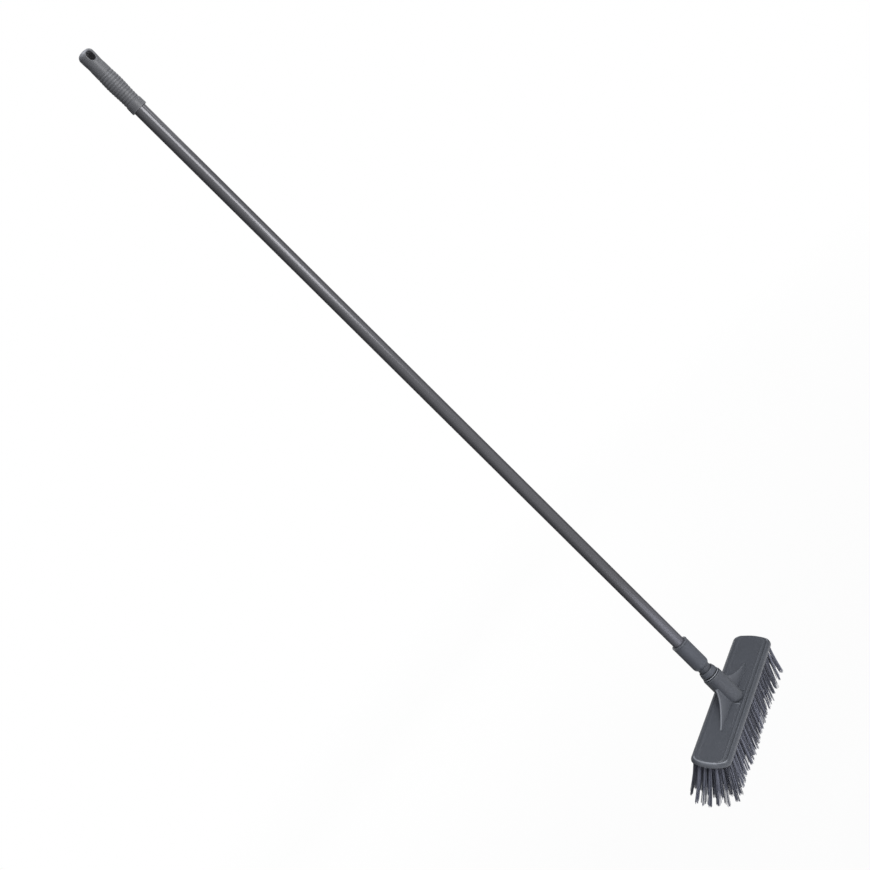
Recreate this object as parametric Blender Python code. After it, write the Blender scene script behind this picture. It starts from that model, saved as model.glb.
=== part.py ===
"""Yard brush with a long steel pole, a moulded grip and a splayed bristle head.

World frame, in metres: the origin is the centre of the hanging hole in the grip, +Z runs up
along the pole, and -Y is the side that the hanging hole's face looks to. The brush hangs as it
does on a hook. The head has a frame of its own: its origin is the point where the pole's axis
meets the deck, x runs along the head, y to the side that the pole leans to, z up from the deck.
"""
import math

import bmesh
import bpy
from mathutils import Matrix, Vector

# Shared clearances and facets
SEAT_GAP = 0.0003
RUN_CLEARANCE = 0.0004
OVERRUN = 0.002
ROUND_SEGMENTS = 28
TUBE_SEGMENTS = 32
THREAD_STEPS = 20

# How the pole stands to the head
POLE_TILT = math.radians(34.0)
HEAD_TURN = math.radians(21.0)
AXIS_OFFSET = 0.002

# Pole
POLE_DIAMETER = 0.022
POLE_WALL = 0.0006
POLE_LENGTH = 1.335
POLE_IN_GRIP = 0.074
POLE_IN_FERRULE = 0.0455

# Grip
GRIP_LENGTH = 0.117
HOLE_FROM_TIP = 0.013
HOLE_LENGTH = 0.016
HOLE_WIDTH = 0.011
HOLE_FLARE = 0.0014
HOLE_FLARE_DEPTH = 0.0020
HOLE_ARC_STEPS = 6
GRIP_END_RADIUS = 0.0133
GRIP_ROUNDING = 0.0085
GRIP_WAIST_RADIUS = 0.0127
GRIP_WAIST_FROM_TIP = 0.026
GRIP_SHOULDER_FROM_TIP = 0.034
SWELL_FROM_TIP = 0.065
SWELL_REACH = 0.031
SWELL_HEIGHT = 0.0010
RIBS_FROM_TIP = 0.046
RIB_PITCH = 0.005
RIB_DEPTH = 0.0005
RIB_BASE_RADIUS = 0.0131
RIB_CREST_SHARES = (0.24, 0.76)
COLLAR_RADIUS = 0.0140
COLLAR_LENGTH = 0.016
COLLAR_EDGE = 0.0006
TIP_STEPS = 5

# Ferrule: sleeve, shoulder, neck and male thread
SLEEVE_RADIUS = 0.0147
SLEEVE_LENGTH = 0.050
SLEEVE_LIP_RADIUS = 0.0150
SLEEVE_LIP_HEIGHT = 0.0026
SLEEVE_EDGE = 0.0008
SHOULDER_DROP = 0.0070
SHOULDER_STEPS = 4
NECK_RADIUS = 0.0112
NECK_SHOWING = 0.0085
SNAP_HEIGHT = 0.0014
SNAP_RADIUS = 0.0119
SNAP_EDGE = 0.0004
THREAD_CORE_RADIUS = 0.0090
THREAD_CREST_RADIUS = 0.0105
THREAD_PITCH = 0.005
THREAD_TURNS = 5
THREAD_ROOT_WIDTH = 0.0030
THREAD_CREST_WIDTH = 0.0012
THREAD_LEAD = 0.0040
THREAD_SINK = 0.0004
THREAD_START = 0.0010

# Lock ring
RING_HEIGHT = 0.0111
RING_TOP_RADIUS = 0.0137
RING_TOP_EDGE = 0.0012
RING_SIDE_HEIGHT = 0.0038
RING_SIDE_RADIUS = 0.0151
RING_GROOVE_RADIUS = 0.0141
RING_GROOVE_WIDTH = 0.0015
RING_EDGE = 0.0003

# Socket on the head
SOCKET_LENGTH = 0.0567
SOCKET_RADIUS = 0.0171
SOCKET_RIM_RADIUS = 0.0159
SOCKET_RIM_HEIGHT = 0.0018
SOCKET_GROOVE_RADIUS = 0.0149
SOCKET_GROOVE_WIDTH = 0.0013
SOCKET_EDGE = 0.0005
SOCKET_SINK = 0.004
BORE_DEPTH = 0.033
SPHERE_STEPS = 7

# Head block
HEAD_LENGTH = 0.314
HEAD_WIDTH = 0.067
HEAD_THICKNESS = 0.009
END_RADIUS = 0.064
CORNER_RADIUS = 0.013
CORNER_STEPS = 5
END_STEPS = 4
END_INSET_SHARE = 0.65
CORNER_INSET_SHARE = 0.30
RIM_HEIGHT = 0.0016
RIM_LEDGE = 0.0007
FLARE = 0.0044
EDGE_DROP = 0.0007
EDGE_WIDTH = 0.0008
GROOVE_INSET = 0.0076
GROOVE_WIDTH = 0.0026
GROOVE_DEPTH = 0.0008
BEAD_INSET = 0.0120
BEAD_WIDTH = 0.0030
BEAD_HEIGHT = 0.0008
FADE_FROM_SHARE = 0.35
FADE_TO_SHARE = 0.90

# Side webs and the pads beside them
WEB_THICKNESS = 0.003
WEB_REACH = 0.081
WEB_HEIGHT = 0.036
WEB_RIDGE_SHARES = (
    (0.00, 1.00),
    (0.06, 0.86),
    (0.16, 0.68),
    (0.30, 0.51),
    (0.46, 0.37),
    (0.62, 0.25),
    (0.78, 0.14),
    (1.00, 0.00),
)
WEB_ROOT_SHARE = 0.80
PAD_START = 0.0160
PAD_REACH = 0.083
PAD_INNER = 0.0034
PAD_SLOPE = 0.0036
PAD_OUTER = 0.0160
PAD_HEIGHT = 0.0020
PAD_EDGE_DROP = 0.0002
DECK_SINK = 0.002

# Bristles
ROW_COUNT = 7
ROW_PITCH = 0.009
TUFT_PITCH = 0.012
ROW_END_MARGIN = 0.008
STRIP_WIDTH = 0.006
STRIP_THICKNESS = 0.003
STRIP_END = 0.0032
BRISTLE_LENGTH = 0.074
LEAN_ACROSS = 0.145
LEAN_ALONG = 0.32
LEAN_ALONG_POWER = 6
LEAN_CORNER_SHARE = 0.4
STRAND_ROOT_RADIUS = 0.0011
STRAND_TIP_RADIUS = 0.0008
TUFT_ROOT_RADIUS = 0.0015
TUFT_TIP_RADIUS = 0.0027
OUTER_STRAND_COUNT = 3
INNER_STRAND_COUNT = 2
OUTER_ROW_COUNT = 2
TRIM_STEP = 0.0012
STRAND_SIDES = 3

# Places that follow from the sizes above
POLE_RADIUS = POLE_DIAMETER / 2
GRIP_TIP_Z = HOLE_FROM_TIP
GRIP_MOUTH_Z = GRIP_TIP_Z - GRIP_LENGTH
POLE_TOP_Z = GRIP_MOUTH_Z + POLE_IN_GRIP
POLE_FOOT_Z = POLE_TOP_Z - POLE_LENGTH
SLEEVE_MOUTH_Z = POLE_FOOT_Z + POLE_IN_FERRULE
NECK_TOP_Z = SLEEVE_MOUTH_Z - SLEEVE_LENGTH - SHOULDER_DROP
RING_TOP_Z = NECK_TOP_Z - NECK_SHOWING
RING_FOOT_Z = RING_TOP_Z - RING_HEIGHT
SOCKET_MOUTH_Z = RING_FOOT_Z - SEAT_GAP
DECK_POINT_Z = SOCKET_MOUTH_Z - SOCKET_LENGTH
THREAD_LENGTH = THREAD_PITCH * THREAD_TURNS

# Look of each material: colour, roughness, metallic
LOOKS = {
    "pole_paint": ((0.100, 0.101, 0.109), 0.28, 0.38),
    "grip_plastic": ((0.094, 0.098, 0.109), 0.44, 0.0),
    "head_plastic": ((0.068, 0.074, 0.088), 0.44, 0.0),
    "bristle_plastic": ((0.105, 0.110, 0.136), 0.44, 0.0),
}


def clear_scene():
    for obj in list(bpy.data.objects):
        bpy.data.objects.remove(obj, do_unlink=True)


def material(name):
    """One Principled material for each kind of plastic or paint."""
    colour, roughness, metallic = LOOKS[name]
    mat = bpy.data.materials.get(name) or bpy.data.materials.new(name)
    mat.use_nodes = True
    shader = mat.node_tree.nodes["Principled BSDF"]
    shader.inputs["Base Color"].default_value = (*colour, 1)
    shader.inputs["Roughness"].default_value = roughness
    shader.inputs["Metallic"].default_value = metallic
    mat.diffuse_color = (*colour, 1)
    return mat


def add_object(name, bm, parent=None, look=None, smooth=True):
    """Turn a bmesh into an object with outward faces."""
    bmesh.ops.recalc_face_normals(bm, faces=bm.faces)
    mesh = bpy.data.meshes.new(name)
    bm.to_mesh(mesh)
    bm.free()
    obj = bpy.data.objects.new(name, mesh)
    bpy.context.collection.objects.link(obj)
    obj.parent = parent
    if look:
        mesh.materials.append(material(look))
    if smooth:
        mesh.shade_smooth()
        mesh.set_sharp_from_angle(angle=math.radians(32.0))
    return obj


def helper(obj):
    """Mark an object that only shapes another one."""
    obj.display_type = "WIRE"
    obj.hide_render = True
    return obj


def boolean(obj, tool, operation):
    """Join a helper to an object, or cut it away."""
    mod = obj.modifiers.new(tool.name, "BOOLEAN")
    mod.object = tool
    mod.operation = operation
    mod.solver = "EXACT"
    return mod


def lathe(profile, segments, closed=False):
    """Turn a list of (radius, z) points about Z; a radius of zero is a point on the axis."""
    bm = bmesh.new()
    rings = []
    for radius, z in profile:
        if radius == 0:
            rings.append([bm.verts.new((0, 0, z))])
            continue
        angles = [2 * math.pi * i / segments for i in range(segments)]
        rings.append([bm.verts.new((radius * math.cos(a), radius * math.sin(a), z)) for a in angles])
    pairs = list(zip(rings, rings[1:]))
    if closed:
        pairs.append((rings[-1], rings[0]))
    for low, high in pairs:
        for i in range(segments):
            j = (i + 1) % segments
            corners = [low[i % len(low)], low[j % len(low)], high[j % len(high)], high[i % len(high)]]
            bm.faces.new(list(dict.fromkeys(corners)))
    return bm


def prism(outline, axis, start, end):
    """Extrude an outline of 2-D points along one axis; the points keep the axis order."""
    bm = bmesh.new()
    layers = []
    for offset in (start, end):
        layer = []
        for point in outline:
            place = list(point)
            place.insert(axis, offset)
            layer.append(bm.verts.new(place))
        layers.append(layer)
    count = len(outline)
    bm.faces.new(layers[0])
    bm.faces.new(layers[1])
    for i in range(count):
        j = (i + 1) % count
        bm.faces.new((layers[0][i], layers[0][j], layers[1][j], layers[1][i]))
    return bm


def joined(parts):
    """Gather several bmeshes, apart from each other, into one."""
    bm = bmesh.new()
    for part in parts:
        mesh = bpy.data.meshes.new("part")
        part.to_mesh(mesh)
        part.free()
        bm.from_mesh(mesh)
        bpy.data.meshes.remove(mesh)
    return bm


def helix_ridge(radii, widths, turns, start_z):
    """A right-hand screw ridge of trapezoid section that climbs one pitch a turn."""
    inner, outer = radii
    root, crest = widths
    section = ((inner, -root / 2), (outer, -crest / 2), (outer, crest / 2), (inner, root / 2))
    bm = bmesh.new()
    rows = []
    for step in range(round(turns * THREAD_STEPS) + 1):
        angle = 2 * math.pi * step / THREAD_STEPS
        climb = start_z + THREAD_PITCH * step / THREAD_STEPS
        places = [(r * math.cos(angle), r * math.sin(angle), climb + z) for r, z in section]
        rows.append([bm.verts.new(place) for place in places])
    for low, high in zip(rows, rows[1:]):
        for i in range(len(section)):
            j = (i + 1) % len(section)
            bm.faces.new((low[i], low[j], high[j], high[i]))
    bm.faces.new(rows[0])
    bm.faces.new(rows[-1])
    return bm


def smooth_step(value, low, high):
    share = min(max((value - low) / (high - low), 0), 1)
    return share * share * (3 - 2 * share)


def make_pole():
    """Painted steel tube, open at both ends, which the grip and the ferrule close."""
    inner = POLE_RADIUS - POLE_WALL
    profile = [
        (POLE_RADIUS, POLE_FOOT_Z),
        (POLE_RADIUS, POLE_TOP_Z),
        (inner, POLE_TOP_Z),
        (inner, POLE_FOOT_Z),
    ]
    return add_object("pole_tube", lathe(profile, TUBE_SEGMENTS, closed=True), look="pole_paint")


def grip_radius(from_tip):
    """Radius of the grip's side, which swells a little over its middle."""
    share = min(abs(from_tip - SWELL_FROM_TIP) / SWELL_REACH, 1)
    return RIB_BASE_RADIUS + SWELL_HEIGHT * math.cos(math.pi / 2 * share) ** 2


def grip_profile():
    """Outline of the grip from its tip to its mouth, then up its blind bore."""
    points = [(0, 0)]
    for step in range(1, TIP_STEPS + 1):
        angle = math.pi / 2 * step / TIP_STEPS
        radius = GRIP_END_RADIUS - GRIP_ROUNDING * (1 - math.sin(angle))
        points.append((radius, GRIP_ROUNDING * (1 - math.cos(angle))))
    points.append((GRIP_WAIST_RADIUS, GRIP_WAIST_FROM_TIP))
    points.append((grip_radius(GRIP_SHOULDER_FROM_TIP), GRIP_SHOULDER_FROM_TIP))
    collar = GRIP_LENGTH - COLLAR_LENGTH
    ribs = round((collar - RIBS_FROM_TIP) / RIB_PITCH)
    pitch = (collar - RIBS_FROM_TIP) / ribs
    edge = RIBS_FROM_TIP - pitch * RIB_CREST_SHARES[0]
    points.append((grip_radius(edge), edge))
    for rib in range(ribs):
        start = RIBS_FROM_TIP + rib * pitch
        points.append((grip_radius(start) - RIB_DEPTH, start))
        for share in RIB_CREST_SHARES:
            crest = start + pitch * share
            points.append((grip_radius(crest), crest))
    points.append((RIB_BASE_RADIUS - RIB_DEPTH, collar))
    points.append((COLLAR_RADIUS, GRIP_LENGTH - COLLAR_EDGE))
    points.append((COLLAR_RADIUS - COLLAR_EDGE, GRIP_LENGTH))
    bore = POLE_RADIUS + SEAT_GAP
    depth = GRIP_LENGTH - POLE_IN_GRIP - SEAT_GAP
    points.append((bore, GRIP_LENGTH))
    points.append((bore, depth))
    points.append((0, depth))
    return [(radius, GRIP_TIP_Z - down) for radius, down in points]


def hole_outline(grow):
    """Oval of the hanging hole in x and z, made wider by a given length."""
    radius = HOLE_WIDTH / 2 + grow
    straight = (HOLE_LENGTH - HOLE_WIDTH) / 2
    outline = []
    for side in (1, -1):
        for step in range(HOLE_ARC_STEPS + 1):
            angle = math.pi * step / HOLE_ARC_STEPS
            x = side * radius * math.cos(angle)
            z = side * (straight + radius * math.sin(angle))
            outline.append((x, z))
    return outline


def make_hole_cutter():
    """The hanging hole runs through along Y and opens out at both faces."""
    face = GRIP_END_RADIUS + OVERRUN
    throat = face - OVERRUN - HOLE_FLARE_DEPTH
    mouth_grow = HOLE_FLARE * (face - throat) / HOLE_FLARE_DEPTH
    stations = ((-face, mouth_grow), (-throat, 0), (throat, 0), (face, mouth_grow))
    bm = bmesh.new()
    loops = []
    for y, grow in stations:
        loops.append([bm.verts.new((x, y, z)) for x, z in hole_outline(grow)])
    count = len(loops[0])
    for low, high in zip(loops, loops[1:]):
        for i in range(count):
            j = (i + 1) % count
            bm.faces.new((low[i], low[j], high[j], high[i]))
    bm.faces.new(loops[0])
    bm.faces.new(loops[-1])
    return helper(add_object("hole_cutter", bm, smooth=False))


def make_grip():
    """Moulded grip: round end with the hanging hole, finger rings, collar and blind bore."""
    grip = add_object("hand_grip", lathe(grip_profile(), ROUND_SEGMENTS), look="grip_plastic")
    boolean(grip, make_hole_cutter(), "DIFFERENCE")
    return grip


def ferrule_profile():
    """Outline of the ferrule from the bottom of its bore, round its mouth, to the thread's end."""
    bore = POLE_RADIUS + SEAT_GAP
    bore_depth = POLE_IN_FERRULE + SEAT_GAP
    points = [
        (0, bore_depth),
        (bore, bore_depth),
        (bore, 0),
        (SLEEVE_LIP_RADIUS - SLEEVE_EDGE, 0),
        (SLEEVE_LIP_RADIUS, SLEEVE_EDGE),
        (SLEEVE_LIP_RADIUS, SLEEVE_LIP_HEIGHT - SLEEVE_EDGE),
        (SLEEVE_RADIUS, SLEEVE_LIP_HEIGHT),
    ]
    for step in range(SHOULDER_STEPS + 1):
        angle = math.pi / 2 * step / SHOULDER_STEPS
        radius = NECK_RADIUS + (SLEEVE_RADIUS - NECK_RADIUS) * math.cos(angle)
        points.append((radius, SLEEVE_LENGTH + SHOULDER_DROP * math.sin(angle)))
    foot = SLEEVE_LENGTH + SHOULDER_DROP + NECK_SHOWING + RING_HEIGHT
    end = foot + SEAT_GAP + THREAD_START + THREAD_LENGTH + THREAD_LEAD
    points += [
        (NECK_RADIUS, foot - SNAP_HEIGHT - SNAP_EDGE),
        (SNAP_RADIUS, foot - SNAP_HEIGHT),
        (SNAP_RADIUS, foot - SNAP_EDGE),
        (SNAP_RADIUS - SNAP_EDGE, foot),
        (THREAD_CORE_RADIUS, foot),
        (THREAD_CORE_RADIUS, end - SLEEVE_EDGE),
        (THREAD_CORE_RADIUS - SLEEVE_EDGE, end),
        (0, end),
    ]
    return [(radius, SLEEVE_MOUTH_Z - down) for radius, down in points]


def make_ferrule():
    """Moulded sleeve on the pole's foot, with neck and coarse male thread."""
    ferrule = add_object("ferrule", lathe(ferrule_profile(), ROUND_SEGMENTS), look="grip_plastic")
    lowest = SOCKET_MOUTH_Z - THREAD_START - THREAD_LENGTH
    ridge = helix_ridge(
        (THREAD_CORE_RADIUS - THREAD_SINK, THREAD_CREST_RADIUS),
        (THREAD_ROOT_WIDTH, THREAD_CREST_WIDTH),
        THREAD_TURNS - THREAD_ROOT_WIDTH / THREAD_PITCH,
        lowest + THREAD_ROOT_WIDTH / 2,
    )
    boolean(ferrule, helper(add_object("male_ridge", ridge, smooth=False)), "UNION")
    return ferrule


def make_ring():
    """Tapered ring with a groove at its foot, loose on the neck and held by the neck's snap bead."""
    bore = NECK_RADIUS + RUN_CLEARANCE
    recess = SNAP_RADIUS + RUN_CLEARANCE
    recess_top = SNAP_HEIGHT + SNAP_EDGE + RUN_CLEARANCE
    points = [
        (bore, RING_HEIGHT),
        (RING_TOP_RADIUS - RING_TOP_EDGE, RING_HEIGHT),
        (RING_TOP_RADIUS, RING_HEIGHT - RING_TOP_EDGE),
        (RING_SIDE_RADIUS, RING_SIDE_HEIGHT),
        (RING_SIDE_RADIUS, RING_GROOVE_WIDTH + RING_EDGE),
        (RING_SIDE_RADIUS - RING_EDGE, RING_GROOVE_WIDTH),
        (RING_GROOVE_RADIUS, RING_GROOVE_WIDTH),
        (RING_GROOVE_RADIUS, 0),
        (recess, 0),
        (recess, recess_top),
        (bore, recess_top),
    ]
    profile = [(radius, RING_FOOT_Z + up) for radius, up in points]
    return add_object("lock_ring", lathe(profile, ROUND_SEGMENTS, closed=True), look="grip_plastic")


def head_outline(inset):
    """Plan of the head, drawn in from its rim by an inset: bowed ends and round corners."""
    half_width = HEAD_WIDTH / 2 - inset
    half_length = HEAD_LENGTH / 2 - inset * END_INSET_SHARE
    corner = CORNER_RADIUS - inset * CORNER_INSET_SHARE
    reach = math.sqrt((END_RADIUS - corner) ** 2 - (half_width - corner) ** 2)
    centre = Vector((half_length - END_RADIUS + reach, half_width - corner))
    bow = Vector((half_length - END_RADIUS, 0))
    turn = math.atan2(centre.y - bow.y, centre.x - bow.x)
    quarter = []
    for step in range(CORNER_STEPS + 1):
        angle = math.pi / 2 + (turn - math.pi / 2) * step / CORNER_STEPS
        quarter.append(centre + corner * Vector((math.cos(angle), math.sin(angle))))
    for step in range(1, END_STEPS + 1):
        angle = turn * (1 - step / END_STEPS)
        quarter.append(bow + END_RADIUS * Vector((math.cos(angle), math.sin(angle))))
    right = quarter + [Vector((p.x, -p.y)) for p in reversed(quarter[:-1])]
    return right + [Vector((-p.x, -p.y)) for p in right]


def head_sections():
    """Insets and heights of the loops from the rim's foot to the deck; the last value fades."""
    ledge = -HEAD_THICKNESS + RIM_HEIGHT
    middle = (RIM_LEDGE + FLARE) / 2
    groove_out = GROOVE_INSET - GROOVE_WIDTH / 2
    groove_in = GROOVE_INSET + GROOVE_WIDTH / 2
    bead_out = BEAD_INSET - BEAD_WIDTH / 2
    bead_in = BEAD_INSET + BEAD_WIDTH / 2
    return (
        (RIM_LEDGE, -HEAD_THICKNESS, 0),
        (0, -HEAD_THICKNESS + RIM_LEDGE, 0),
        (0, ledge, 0),
        (RIM_LEDGE, ledge + RIM_LEDGE / 2, 0),
        (middle, (ledge + RIM_LEDGE) / 2, 0),
        (FLARE, -EDGE_DROP, 0),
        (FLARE + EDGE_WIDTH, 0, 0),
        (groove_out, 0, 0),
        (GROOVE_INSET - GROOVE_WIDTH / 6, 0, -GROOVE_DEPTH),
        (GROOVE_INSET + GROOVE_WIDTH / 6, 0, -GROOVE_DEPTH),
        (groove_in, 0, 0),
        (bead_out, 0, 0),
        (BEAD_INSET - BEAD_WIDTH / 4, 0, BEAD_HEIGHT),
        (BEAD_INSET + BEAD_WIDTH / 4, 0, BEAD_HEIGHT),
        (bead_in, 0, 0),
    )


def make_block():
    """Deck, bead, groove and flared side, as loops drawn in from the rim."""
    bm = bmesh.new()
    loops = []
    for inset, height, relief in head_sections():
        half_width = HEAD_WIDTH / 2 - inset
        loop = []
        for point in head_outline(inset):
            share = smooth_step(abs(point.y) / half_width, FADE_FROM_SHARE, FADE_TO_SHARE)
            loop.append(bm.verts.new((point.x, point.y + AXIS_OFFSET, height + relief * share)))
        loops.append(loop)
    count = len(loops[0])
    for low, high in zip(loops, loops[1:]):
        for i in range(count):
            j = (i + 1) % count
            bm.faces.new((low[i], low[j], high[j], high[i]))
    bm.faces.new(loops[0])
    bm.faces.new(loops[-1])
    return bm


def make_socket():
    """Leaning round socket with a rim, a groove under it and a round lower end."""
    points = []
    for step in range(SPHERE_STEPS):
        angle = math.pi / 2 * step / SPHERE_STEPS
        points.append((SOCKET_RADIUS * math.sin(angle), -SOCKET_RADIUS * math.cos(angle)))
    rim_foot = SOCKET_LENGTH - SOCKET_RIM_HEIGHT
    groove_foot = rim_foot - SOCKET_GROOVE_WIDTH
    points += [
        (SOCKET_RADIUS, 0),
        (SOCKET_RADIUS, groove_foot - SOCKET_EDGE),
        (SOCKET_GROOVE_RADIUS, groove_foot),
        (SOCKET_GROOVE_RADIUS, rim_foot),
        (SOCKET_RIM_RADIUS, rim_foot + SOCKET_EDGE),
        (SOCKET_RIM_RADIUS, SOCKET_LENGTH - SOCKET_EDGE),
        (SOCKET_RIM_RADIUS - SOCKET_EDGE, SOCKET_LENGTH),
        (0, SOCKET_LENGTH),
    ]
    bm = lathe(points, ROUND_SEGMENTS)
    bmesh.ops.rotate(bm, verts=bm.verts, matrix=Matrix.Rotation(-POLE_TILT, 3, "X"))
    geometry = bm.verts[:] + bm.edges[:] + bm.faces[:]
    level = Vector((0, 0, -SOCKET_SINK))
    bmesh.ops.bisect_plane(bm, geom=geometry, plane_co=level, plane_no=(0, 0, 1), clear_inner=True)
    bmesh.ops.holes_fill(bm, edges=[edge for edge in bm.edges if edge.is_boundary])
    return bm


def make_webs():
    """Two thin webs in the socket's leaning plane, with ridges that sag towards the ends."""
    start = SOCKET_RADIUS * WEB_ROOT_SHARE
    span = WEB_REACH - SOCKET_RADIUS
    ridge = [(SOCKET_RADIUS + span * x, WEB_HEIGHT * z) for x, z in WEB_RIDGE_SHARES]
    outline = [(start, -DECK_SINK), (start, WEB_HEIGHT)] + ridge + [(WEB_REACH, -DECK_SINK)]
    webs = []
    for side in (1, -1):
        mirrored = [(side * x, z) for x, z in outline]
        web = prism(mirrored, 1, -WEB_THICKNESS / 2, WEB_THICKNESS / 2)
        bmesh.ops.rotate(web, verts=web.verts, matrix=Matrix.Rotation(-POLE_TILT, 3, "X"))
        webs.append(web)
    return joined(webs)


def make_pads():
    """Two low wedges on the deck beside the webs, highest next to the socket, sloped on the web's side."""
    far_height = -PAD_HEIGHT / 4
    pads = []
    for side in (1, -1):
        bm = bmesh.new()
        ends = []
        for reach, height in ((PAD_START, PAD_HEIGHT), (PAD_REACH, far_height)):
            foot = min(height, 0) - PAD_EDGE_DROP
            section = (
                (-PAD_INNER, -DECK_SINK),
                (-PAD_INNER, foot),
                (-PAD_INNER - PAD_SLOPE, height),
                (-PAD_OUTER, height),
                (-PAD_OUTER, -DECK_SINK),
            )
            ends.append([bm.verts.new((side * reach, y, z)) for y, z in section])
        near, far = ends
        count = len(near)
        for i in range(count):
            j = (i + 1) % count
            bm.faces.new((near[i], near[j], far[j], far[i]))
        bm.faces.new(near)
        bm.faces.new(far)
        pads.append(bm)
    return joined(pads)


def make_bore():
    """Threaded bore of the socket: the thread's core and ridge, each with running clearance."""
    minor = THREAD_CORE_RADIUS + RUN_CLEARANCE
    major = THREAD_CREST_RADIUS + RUN_CLEARANCE
    profile = [
        (0, SOCKET_MOUTH_Z + OVERRUN),
        (major + OVERRUN, SOCKET_MOUTH_Z + OVERRUN),
        (major, SOCKET_MOUTH_Z),
        (minor, SOCKET_MOUTH_Z - (major - minor)),
        (minor, SOCKET_MOUTH_Z - BORE_DEPTH),
        (0, SOCKET_MOUTH_Z - BORE_DEPTH),
    ]
    bore = helper(add_object("bore_cutter", lathe(profile, ROUND_SEGMENTS), smooth=False))
    lowest = SOCKET_MOUTH_Z - THREAD_START - THREAD_LENGTH
    ridge = helix_ridge(
        (minor - THREAD_SINK, major),
        (THREAD_ROOT_WIDTH + 2 * RUN_CLEARANCE, THREAD_CREST_WIDTH + 2 * RUN_CLEARANCE),
        THREAD_TURNS + OVERRUN / THREAD_PITCH,
        lowest + THREAD_ROOT_WIDTH / 2,
    )
    ridge_tool = helper(add_object("female_ridge", ridge, smooth=False))
    boolean(bore, ridge_tool, "UNION")
    return bore


def row_offset(row):
    """Place of a row across the head, from the head's middle."""
    return ROW_PITCH * (row - (ROW_COUNT - 1) / 2)


def row_reach(offset):
    """Place of a row's last tuft along the head, in from the bowed end."""
    half_width = HEAD_WIDTH / 2
    half_length = HEAD_LENGTH / 2
    inner = half_width - CORNER_RADIUS
    reach = math.sqrt((END_RADIUS - CORNER_RADIUS) ** 2 - inner ** 2)
    centre_x = half_length - END_RADIUS + reach
    if abs(offset) > inner * END_RADIUS / (END_RADIUS - CORNER_RADIUS):
        end = centre_x + math.sqrt(CORNER_RADIUS ** 2 - (abs(offset) - inner) ** 2)
    else:
        end = half_length - END_RADIUS + math.sqrt(END_RADIUS ** 2 - offset ** 2)
    return end - ROW_END_MARGIN


def make_slots(grow, height):
    """The grooves for the rows' strips, or the strips' own boxes, as separate boxes."""
    boxes = []
    for row in range(ROW_COUNT):
        offset = row_offset(row)
        half_length = row_reach(offset) + STRIP_END + grow
        half_width = STRIP_WIDTH / 2 + grow
        outline = [
            (-half_length, AXIS_OFFSET + offset - half_width),
            (half_length, AXIS_OFFSET + offset - half_width),
            (half_length, AXIS_OFFSET + offset + half_width),
            (-half_length, AXIS_OFFSET + offset + half_width),
        ]
        boxes.append(prism(outline, 2, -HEAD_THICKNESS - OVERRUN, height))
    return joined(boxes)


def make_head(frame):
    """One moulding: block, leaning socket, webs, pads, threaded bore and strip grooves."""
    block = add_object("head_block", make_block(), frame, "head_plastic")
    for name, bm in (("socket_body", make_socket()), ("web_bodies", make_webs()), ("pad_bodies", make_pads())):
        boolean(block, helper(add_object(name, bm, frame)), "UNION")
    boolean(block, make_bore(), "DIFFERENCE")
    slot_top = -HEAD_THICKNESS + STRIP_THICKNESS + SEAT_GAP
    slots = add_object("strip_slots", make_slots(SEAT_GAP, slot_top), frame, smooth=False)
    boolean(block, helper(slots), "DIFFERENCE")
    return block


def tuft_lean(x, offset):
    """Lean of a tuft along and across the head, as travel for each unit of depth."""
    side = offset / row_offset(ROW_COUNT - 1)
    end_share = abs(x) / row_reach(0)
    along = LEAN_ALONG * end_share ** LEAN_ALONG_POWER * (1 - LEAN_CORNER_SHARE * side * side)
    return math.copysign(along, x), LEAN_ACROSS * side


def strand_count(row, tuft, last_tuft):
    """More strands in the outer rows and in the tufts at a row's ends, which show most."""
    outer = min(row, ROW_COUNT - 1 - row) < OUTER_ROW_COUNT
    return OUTER_STRAND_COUNT if outer or tuft in (0, last_tuft) else INNER_STRAND_COUNT


def corner_ring(centre, radius, turn, z):
    """Corners of a strand's section about a centre point."""
    ring = []
    for side in range(STRAND_SIDES):
        angle = turn + 2 * math.pi * side / STRAND_SIDES
        ring.append(Vector((centre[0] + radius * math.cos(angle), centre[1] + radius * math.sin(angle), z)))
    return ring


def tuft_strands(x, offset, strands, number):
    """Root and tip corners of each strand of one tuft; a few are trimmed a little shorter."""
    along, across = tuft_lean(x, offset)
    root_z = -HEAD_THICKNESS
    turn = number * math.pi / 5
    result = []
    for strand in range(strands):
        angle = turn + 2 * math.pi * strand / strands
        way = Vector((math.cos(angle), math.sin(angle)))
        length = BRISTLE_LENGTH - TRIM_STEP * ((number + strand) % OUTER_STRAND_COUNT)
        root = Vector((x, offset + AXIS_OFFSET)) + way * TUFT_ROOT_RADIUS
        tip = Vector((x + along * length, offset + AXIS_OFFSET + across * length)) + way * TUFT_TIP_RADIUS
        roots = corner_ring(root, STRAND_ROOT_RADIUS, angle, root_z)
        tips = corner_ring(tip, STRAND_TIP_RADIUS, angle, root_z - length)
        result.append((roots, tips))
    return result


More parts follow.
